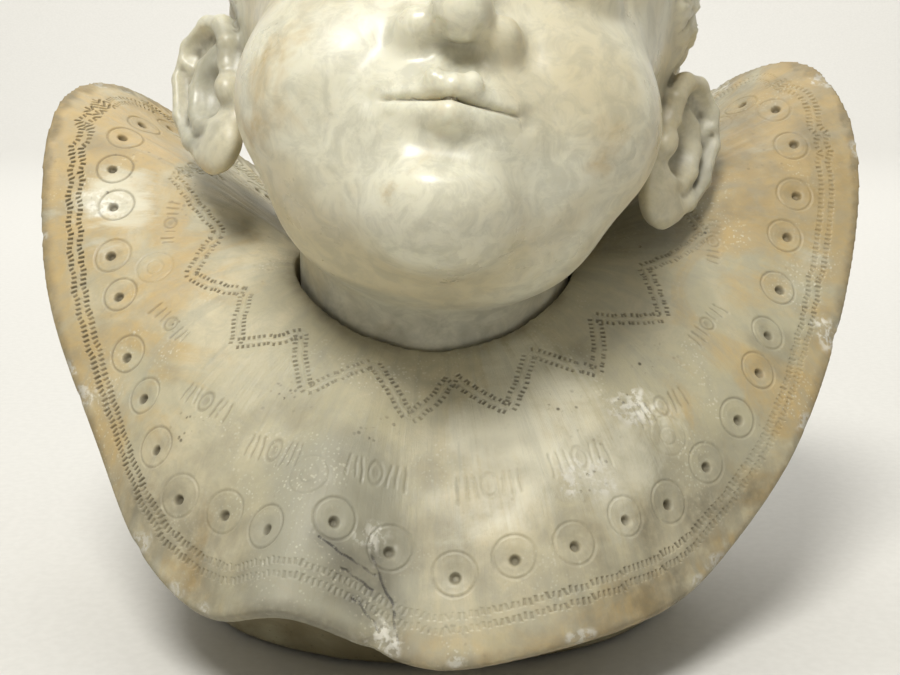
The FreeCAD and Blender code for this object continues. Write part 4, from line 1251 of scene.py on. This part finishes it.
def cut_damage(chisel, cape):
    """Chips, cracks, bruises and pin-pricks; returns the paint for veins, bruises and pricks."""
    count = len(chisel.places)
    vein, bruise, speck = np.zeros(count), np.zeros(count), np.zeros(count)
    bruises, pockets = list(BRUISES), list(BRUISES)
    for number in range(POCKETS):
        odd = scatter([number, number + 50, number + 90], 42)
        pockets.append((360.0 * (number + odd[0]) / POCKETS, 30.0 + 38.0 * odd[1], 4.0 + 4.0 * odd[2]))
    for number in range(CHIPS):
        odd = scatter([number, number + 50, number + 90], 43)
        angle, half = 360.0 * (number + odd[0]) / CHIPS, 2.5 + 4.0 * odd[1] ** 2
        depth = half * (0.22 + 0.08 * odd[2])
        if half > 4.0:
            bruises.append((angle, 1.0, half * 1.1))
        spot, along, inward, _ = cape.axes(angle, 0.4)
        found, a, b = chisel.local(spot, along, inward, half * 2.2)
        shape = np.hypot(a / half, b / (half * 0.55))
        ragged = 0.3 * rough_field(chisel.places[found], 1.8, 41)
        cut = 0.45 * depth * (1 - ease(shape + ragged, 0.15, 1.05))
        chisel.depth[found] = np.maximum(chisel.depth[found], cut)
        bruise[found] = np.maximum(bruise[found], (1 - ease(shape + ragged, 0.6, 1.3)) * 0.7)
    for line in CRACKS:
        stops = walk(cape, line, 0.5)[2]
        wander = [rough_field(stops, 3.0, 50 + k) + 0.5 * rough_field(stops, 1.2, 60 + k) for k in range(3)]
        wander = np.stack(wander, 1)
        for spot in stops + wander * 0.45:
            found = chisel.near.around(spot, 6.0)
            gap = np.sqrt(((chisel.places[found] - spot) ** 2).sum(1))
            chisel.depth[found] = np.maximum(chisel.depth[found], 0.35 * (1 - ease(gap, 0.10, 0.50)))
            vein[found] = np.maximum(vein[found], 1 - ease(gap, 0.15, 0.75))
            vein[found] = np.maximum(vein[found], 0.42 * (1 - ease(gap, 0.5, 5.5)))
    for angle, inset, radius in bruises:
        spot = cape.place(angle, inset)
        found = chisel.near.around(spot, radius * 1.3)
        gap = np.sqrt(((chisel.places[found] - spot) ** 2).sum(1)) / radius
        ragged = 0.5 * rough_field(chisel.places[found], 4.0, 71)
        ragged = ragged + 0.3 * rough_field(chisel.places[found], 1.3, 72)
        bruise[found] = np.maximum(bruise[found], (1 - ease(gap + ragged, 0.2, 1.0)) * 0.7)
    for angle, inset, radius in pockets:
        spot = cape.place(angle, inset)
        found = chisel.near.around(spot, radius * 1.3)
        gap = np.sqrt(((chisel.places[found] - spot) ** 2).sum(1)) / radius
        ragged = 0.4 * rough_field(chisel.places[found], 4.0, 74)
        speck[found] = np.maximum(speck[found], 1 - ease(gap + ragged, 0.2, 1.0))
    return vein, bruise, speck


class BUST_OT_collar(bpy.types.Operator):
    """Cape collar: folds, punched border, zigzag, eyelets, sprigs, chips and cracks"""

    bl_idname = "bust.make_collar"
    bl_label = "Collar"

    def execute(self, context):
        carving = context.scene.bust_carving
        plain = frame["nodes"]["collar"].data.copy()
        cape = Cape(plain)
        grid = carving.cloth_grid * 1.0
        mesh = modified_mesh(plain, "REMESH", mode="VOXEL", voxel_size=grid)
        mesh = modified_mesh(mesh, "SMOOTH", factor=0.5, iterations=4)
        bands = [walk(cape, line, 1.0)[2] for line in border_lines(carving)]
        zigzag = walk(cape, zigzag_corners(cape, carving), 1.0)
        sideways = np.cross(zigzag[3], zigzag[2] - cape.centre)
        sideways *= carving.zigzag_row / MM / np.sqrt((sideways**2).sum(1))[:, None]
        bands += [zigzag[2] + sideways, zigzag[2] - sideways]
        lines = np.concatenate(bands)
        eyelets = eyelet_places(cape, carving)
        rings = np.array([cape.place(a, d) for a, d in eyelets + faint_places(eyelets)])
        cracks = np.concatenate([walk(cape, line, 1.0)[2] for line in CRACKS])
        sprigs = np.array([cape.place(a, d) for a, d, _ in sprig_places(cape, carving)])
        coarse = ((lines, 2.6), (rings, 7.4), (cracks, 1.8), (sprigs, 9.5))
        for jobs in ((coarse, ((lines, 1.7), (rings, 2.2), (cracks, 1.2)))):
            near = Near(mesh_arrays(mesh)[0])
            wanted = np.zeros(len(mesh.vertices), dtype=bool)
            for spots, radius in jobs:
                for spot in spots:
                    wanted[near.around(spot, radius)] = True
            refine(mesh, wanted)
        chisel = Chisel(mesh)
        cut_border(chisel, cape, carving)
        cut_zigzag(chisel, cape, carving)
        cut_eyelets(chisel, cape, carving)
        cut_sprigs(chisel, cape, carving)
        rubbed = worn_away(chisel.places)
        vein, bruise, speck = cut_damage(chisel, cape)
        places, normals = chisel.places, chisel.normals
        angle, inset = cape.read(places)
        turn = np.radians(angle)
        fan = np.stack((np.cos(turn) * 95.0, np.sin(turn) * 95.0, inset * 0.09), axis=1)
        streak = 0.6 * rough_field(fan, 4.0, 81) + 0.4 * rough_field(fan, 1.6, 82)
        on_face = ease(inset, 0.0, 4.0)
        inland = ease(inset, 2.0, 9.0)
        gathers = ease(np.abs(np.cos(turn)), 0.75, 0.95) * ease(np.sin(turn), -0.1, 0.3) * on_face
        relief = rough_field(places, 11.0, 83) * 0.22 + rough_field(places, 4.0, 84) * 0.08
        relief = relief * (0.25 + 0.75 * inland)
        relief += rough_field(places, 1.5, 85) * 0.03 + streak * (0.05 + 0.28 * gathers) * on_face
        set_places(mesh, places + normals * (relief - chisel.depth)[:, None])
        pit_dirt = np.clip(chisel.dirt, 0, 1) * (1 - 0.35 * rubbed)
        under = 1 - on_face
        # Painted shade on the collar round the foot of the neck.
        gap = places - NECK_MIDDLE
        height = gap @ NECK_AXIS
        away = np.sqrt(np.maximum((gap**2).sum(1) - height**2, 0.0))
        seam = 0.75 * (1 - ease(away, NECK_RADIUS, NECK_RADIUS + 7.0)) * on_face
        film_and_darkening = 0.30 * ease(rough_field(places, 20.0, 86) + 0.4 * rough_field(places, 6.0, 87), 0.1, 0.8)
        # Darker low on both sides of the front.
        low = (1 - ease(places[:, 2], 36.0, 74.0)) * ease(np.abs(places[:, 0] + 6.0), 26.0, 56.0)
        film_and_darkening = np.maximum(film_and_darkening, 0.80 * low * (0.7 + 0.5 * rough_field(places, 8.0, 91)))
        # Darker high on the right shoulder.
        right_side = ease(places[:, 0], 84.0, 104.0) * ease(places[:, 2], 100.0, 125.0)
        film_and_darkening = np.maximum(film_and_darkening, 0.40 * right_side * (0.8 + 0.5 * rough_field(places, 10.0, 92)))
        grime_and_shade = np.maximum(np.maximum(pit_dirt, seam * (0.6 + 0.4 * rough_field(places, 5.0, 88))), film_and_darkening)
        # Painted shade over the whole underside of the collar.
        grime_and_shade = np.maximum(grime_and_shade, 0.55 * under)
        set_paint(mesh, "grime_and_shade", np.clip(grime_and_shade, 0, 1))
        set_paint(mesh, "vein", np.clip(vein, 0, 1))
        set_paint(mesh, "bruise", np.clip(bruise, 0, 1))
        set_paint(mesh, "speck", speck)
        set_paint(mesh, "streak", streak * 0.5 + 0.5)
        set_paint(mesh, "around", np.degrees(np.arctan2(places[:, 0], -places[:, 1])) * 1.6)
        set_paint(mesh, "inward", inset)
        cos, sin = np.cos(turn), np.sin(turn)
        high = ease(places[:, 2], 88.0, 125.0)
        ochre = 1.0 * ease(np.abs(cos), 0.72, 0.98) * (1 - ease(inset, 35, 60)) * (0.45 + 0.55 * high)
        ochre += 0.35 * (1 - ease(inset, 4, 16)) - 0.7 * ease(-sin, 0.6, 0.95) * ease(inset, 18, 30)
        set_paint(mesh, "ochre", ochre - 0.2)
        chest = (1 - ease(np.sqrt(((places - (-22, -88, 44)) ** 2).sum(1)), 12, 40)) * 1.1
        set_paint(mesh, "clear", chest + 0.35 * rough_field(places, 33.0, 89))
        right = 1 - ease(np.sqrt(((places - (30, -66, 66)) ** 2).sum(1)), 14, 52)
        left = 1 - ease(np.sqrt(((places - (-96, 2, 118)) ** 2).sum(1)), 8, 26)
        set_paint(mesh, "pale", right * 0.9 + left * 0.8 + 0.35 * rough_field(places, 26.0, 90) - 0.1)
        add_piece("collar_carved", mesh, collar_stone(), "collar_stone", "collar")
        return {"FINISHED"}


# ---------------------------------------------------------------------------------------------
# Foot and the parts that join the stones
# ---------------------------------------------------------------------------------------------


class BUST_OT_foot(bpy.types.Operator):
    """Oval foot, sawn and rubbed, with softened edges"""

    bl_idname = "bust.make_foot"
    bl_label = "Foot"

    def execute(self, context):
        plain = frame["nodes"]["foot"].data.copy()
        mesh = modified_mesh(plain, "REMESH", mode="VOXEL", voxel_size=1.0 * MM)
        mesh = modified_mesh(mesh, "SMOOTH", factor=0.5, iterations=3)
        places, normals = mesh_arrays(mesh)
        level = np.abs(normals[:, 2])
        relief = rough_field(places, 9.0, 101) * 0.30 + rough_field(places, 2.6, 102) * 0.12
        relief += rough_field(places * (0.25, 0.25, 1.0), 1.6, 103) * 0.10
        set_places(mesh, places + normals * (relief * (1 - ease(level, 0.6, 0.95)))[:, None])
        add_piece("foot_carved", mesh, foot_stone(), "foot_stone", "foot")
        return {"FINISHED"}


def threaded_rod(low, high, crest, root, pitch):
    """A rod with one running thread, its ends bevelled; height along Z, in millimetres."""
    around = 48
    steps = int((high - low) / pitch * 8)
    rings = []
    for j in range(steps + 1):
        z = low + (high - low) * j / steps
        ring = []
        for i in range(around):
            phase = ((z - low) / pitch + i / around) % 1.0
            radius = root + (crest - root) * (1 - abs(2 * phase - 1))
            radius = min(radius, root - 0.4 + min(z - low, high - z))
            turn = 2 * math.pi * i / around
            ring.append((radius * math.cos(turn), radius * math.sin(turn), z))
        rings.append(ring)
    points = [p for ring in rings for p in ring] + [(0, 0, low), (0, 0, high)]
    faces = []
    for j in range(steps):
        for i in range(around):
            k = (i + 1) % around
            faces.append((j * around + i, j * around + k, (j + 1) * around + k, (j + 1) * around + i))
    for i in range(around):
        k = (i + 1) % around
        faces.append((len(points) - 2, k, i))
        faces.append((len(points) - 1, steps * around + i, steps * around + k))
    mesh = bpy.data.meshes.new("rod")
    mesh.from_pydata([tuple(c * MM for c in p) for p in points], [], faces)
    mesh.update()
    return mesh


class BUST_OT_fixings(bpy.types.Operator):
    """Threaded stud in place of the plain one; steel for the dowel, the pins, the washer and the nut"""

    bl_idname = "bust.make_fixings"
    bl_label = "Fixings"

    def execute(self, context):
        metal = steel()
        low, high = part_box("base_stud")
        radius = (high.x - low.x) / 2 / MM
        mesh = threaded_rod(low.z / MM, high.z / MM, radius, radius - 0.6, 1.5)
        mesh.transform(Matrix.Translation(((low.x + high.x) / 2, (low.y + high.y) / 2, 0.0)))
        add_piece("stud_threaded", mesh, metal, "steel", "base_stud")
        names = (
            "neck_dowel", "neck_key_pin", "base_washer", "base_nut", "foot_key_pin_left", "foot_key_pin_right",
        )  # fmt: skip
        for name in names:
            frame["nodes"][name].data.materials.clear()
            frame["nodes"][name].data.materials.append(metal)
        return {"FINISHED"}


class BUST_OT_beds(bpy.types.Operator):
    """Plaster in the joints and the felt under the foot"""

    bl_idname = "bust.make_beds"
    bl_label = "Beds and felt"

    def execute(self, context):
        for names, material in ((("foot_bed", "neck_bed"), plaster()), (("felt_pad",), felt())):
            for name in names:
                frame["nodes"][name].data.materials.clear()
                frame["nodes"][name].data.materials.append(material)
        return {"FINISHED"}


# ---------------------------------------------------------------------------------------------
# Stage, panel and the run
# ---------------------------------------------------------------------------------------------


def floor_material():
    """Plain pale paper."""
    paper = Shader("floor_paper")
    fibre = paper.noise(300.0, 3.0)
    colour = paper.mix(paper.window(fibre, 0.3, 0.7, 0.0, 1.0), *PAPER)
    return paper.finish(colour, paper.window(fibre, 0.3, 0.7, 0.85, 0.95))


def area_light(name, place, aim, width, power, colour):
    lamp = bpy.data.lights.new(name, "AREA")
    lamp.shape = "DISK"
    lamp.size = width
    lamp.energy = power
    lamp.color = colour
    holder = bpy.data.objects.new(name, lamp)
    bpy.context.scene.collection.objects.link(holder)
    holder.location = place
    holder.rotation_euler = (Vector(aim) - Vector(place)).to_track_quat("-Z", "Y").to_euler()


class BUST_OT_stage(bpy.types.Operator):
    """Pale floor, soft studio light and the camera"""

    bl_idname = "bust.make_stage"
    bl_label = "Stage"

    def execute(self, context):
        scene = context.scene
        mesh = bpy.data.meshes.new("floor")
        flat, bend, wall, around = 1.7, 0.8, 1.5, 96
        profile = [(0.35, 0.0), (flat, 0.0)]
        for t in np.linspace(0, math.pi / 2, 17)[1:]:
            profile.append((flat + bend * math.sin(t), bend - bend * math.cos(t)))
        profile.append((flat + bend, wall))
        turns = [2 * math.pi * i / around for i in range(around)]
        points = [(r * math.cos(t), r * math.sin(t), z) for r, z in profile for t in turns]
        faces = [list(range(around))]
        for j in range(len(profile) - 1):
            for i in range(around):
                k = (i + 1) % around
                row, above = j * around, (j + 1) * around
                faces.append((row + i, above + i, above + k, row + k))
        mesh.from_pydata(points, [], faces)
        mesh.polygons.foreach_set("use_smooth", [True] * len(mesh.polygons))
        mesh.materials.append(floor_material())
        floor = bpy.data.objects.new("floor", mesh)
        scene.collection.objects.link(floor)
        area_light("key", (-0.20, -0.70, 1.25), (0, 0, 0.10), 0.5, 17.5, (1.0, 0.985, 0.94))
        area_light("ceiling", (-0.1, 0.1, 2.3), (0, 0.1, 0.0), 3.0, 12.0, (1.0, 0.99, 0.97))
        area_light("backdrop", (0.0, 1.1, 1.5), (0, 2.2, 0.1), 1.6, 26.0, (1.0, 0.99, 0.97))
        world = bpy.data.worlds.new("studio")
        world.use_nodes = True
        world.node_tree.nodes["Background"].inputs["Color"].default_value = (0.93, 0.92, 0.86, 1.0)
        world.node_tree.nodes["Background"].inputs["Strength"].default_value = 0.38
        scene.world = world
        scene.view_settings.view_transform = "Standard"
        lens = bpy.data.cameras.new("camera")
        lens.sensor_width = 36.0
        lens.lens = 58.88
        lens.clip_start = 0.01
        camera = bpy.data.objects.new("camera", lens)
        camera.location = (0.0047, -0.4416, 0.175)
        camera.rotation_euler = Euler((math.radians(78.0), 0.0, 0.0))
        scene.collection.objects.link(camera)
        scene.camera = camera
        return {"FINISHED"}


class BUST_PT_panel(bpy.types.Panel):
    """Settings and the buttons that make each part"""

    bl_idname = "BUST_PT_panel"
    bl_label = "Carved bust"
    bl_space_type = "VIEW_3D"
    bl_region_type = "UI"
    bl_category = "Bust"

    def draw(self, context):
        layout = self.layout
        for group in (context.scene.bust_stone, context.scene.bust_carving):
            column = layout.column(align=True)
            for name in group.__annotations__:
                column.prop(group, name)
        column = layout.column(align=True)
        for operator in OPERATORS:
            column.operator(operator.bl_idname)


OPERATORS = (BUST_OT_head, BUST_OT_collar, BUST_OT_foot, BUST_OT_fixings, BUST_OT_beds, BUST_OT_stage)
CLASSES = (BUST_PG_stone, BUST_PG_carving, *OPERATORS, BUST_PT_panel)


def register():
    for item in CLASSES:
        bpy.utils.register_class(item)
    bpy.types.Scene.bust_stone = bpy.props.PointerProperty(type=BUST_PG_stone)
    bpy.types.Scene.bust_carving = bpy.props.PointerProperty(type=BUST_PG_carving)


def unregister():
    del bpy.types.Scene.bust_carving
    del bpy.types.Scene.bust_stone
    for item in reversed(CLASSES):
        bpy.utils.unregister_class(item)


def main():
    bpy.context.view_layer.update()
    register()
    for operator in OPERATORS:
        area, name = operator.bl_idname.split(".")
        if getattr(getattr(bpy.ops, area), name)() != {"FINISHED"}:
            raise RuntimeError(operator.bl_label + " didn't finish")


if __name__ == "__main__":
    main()
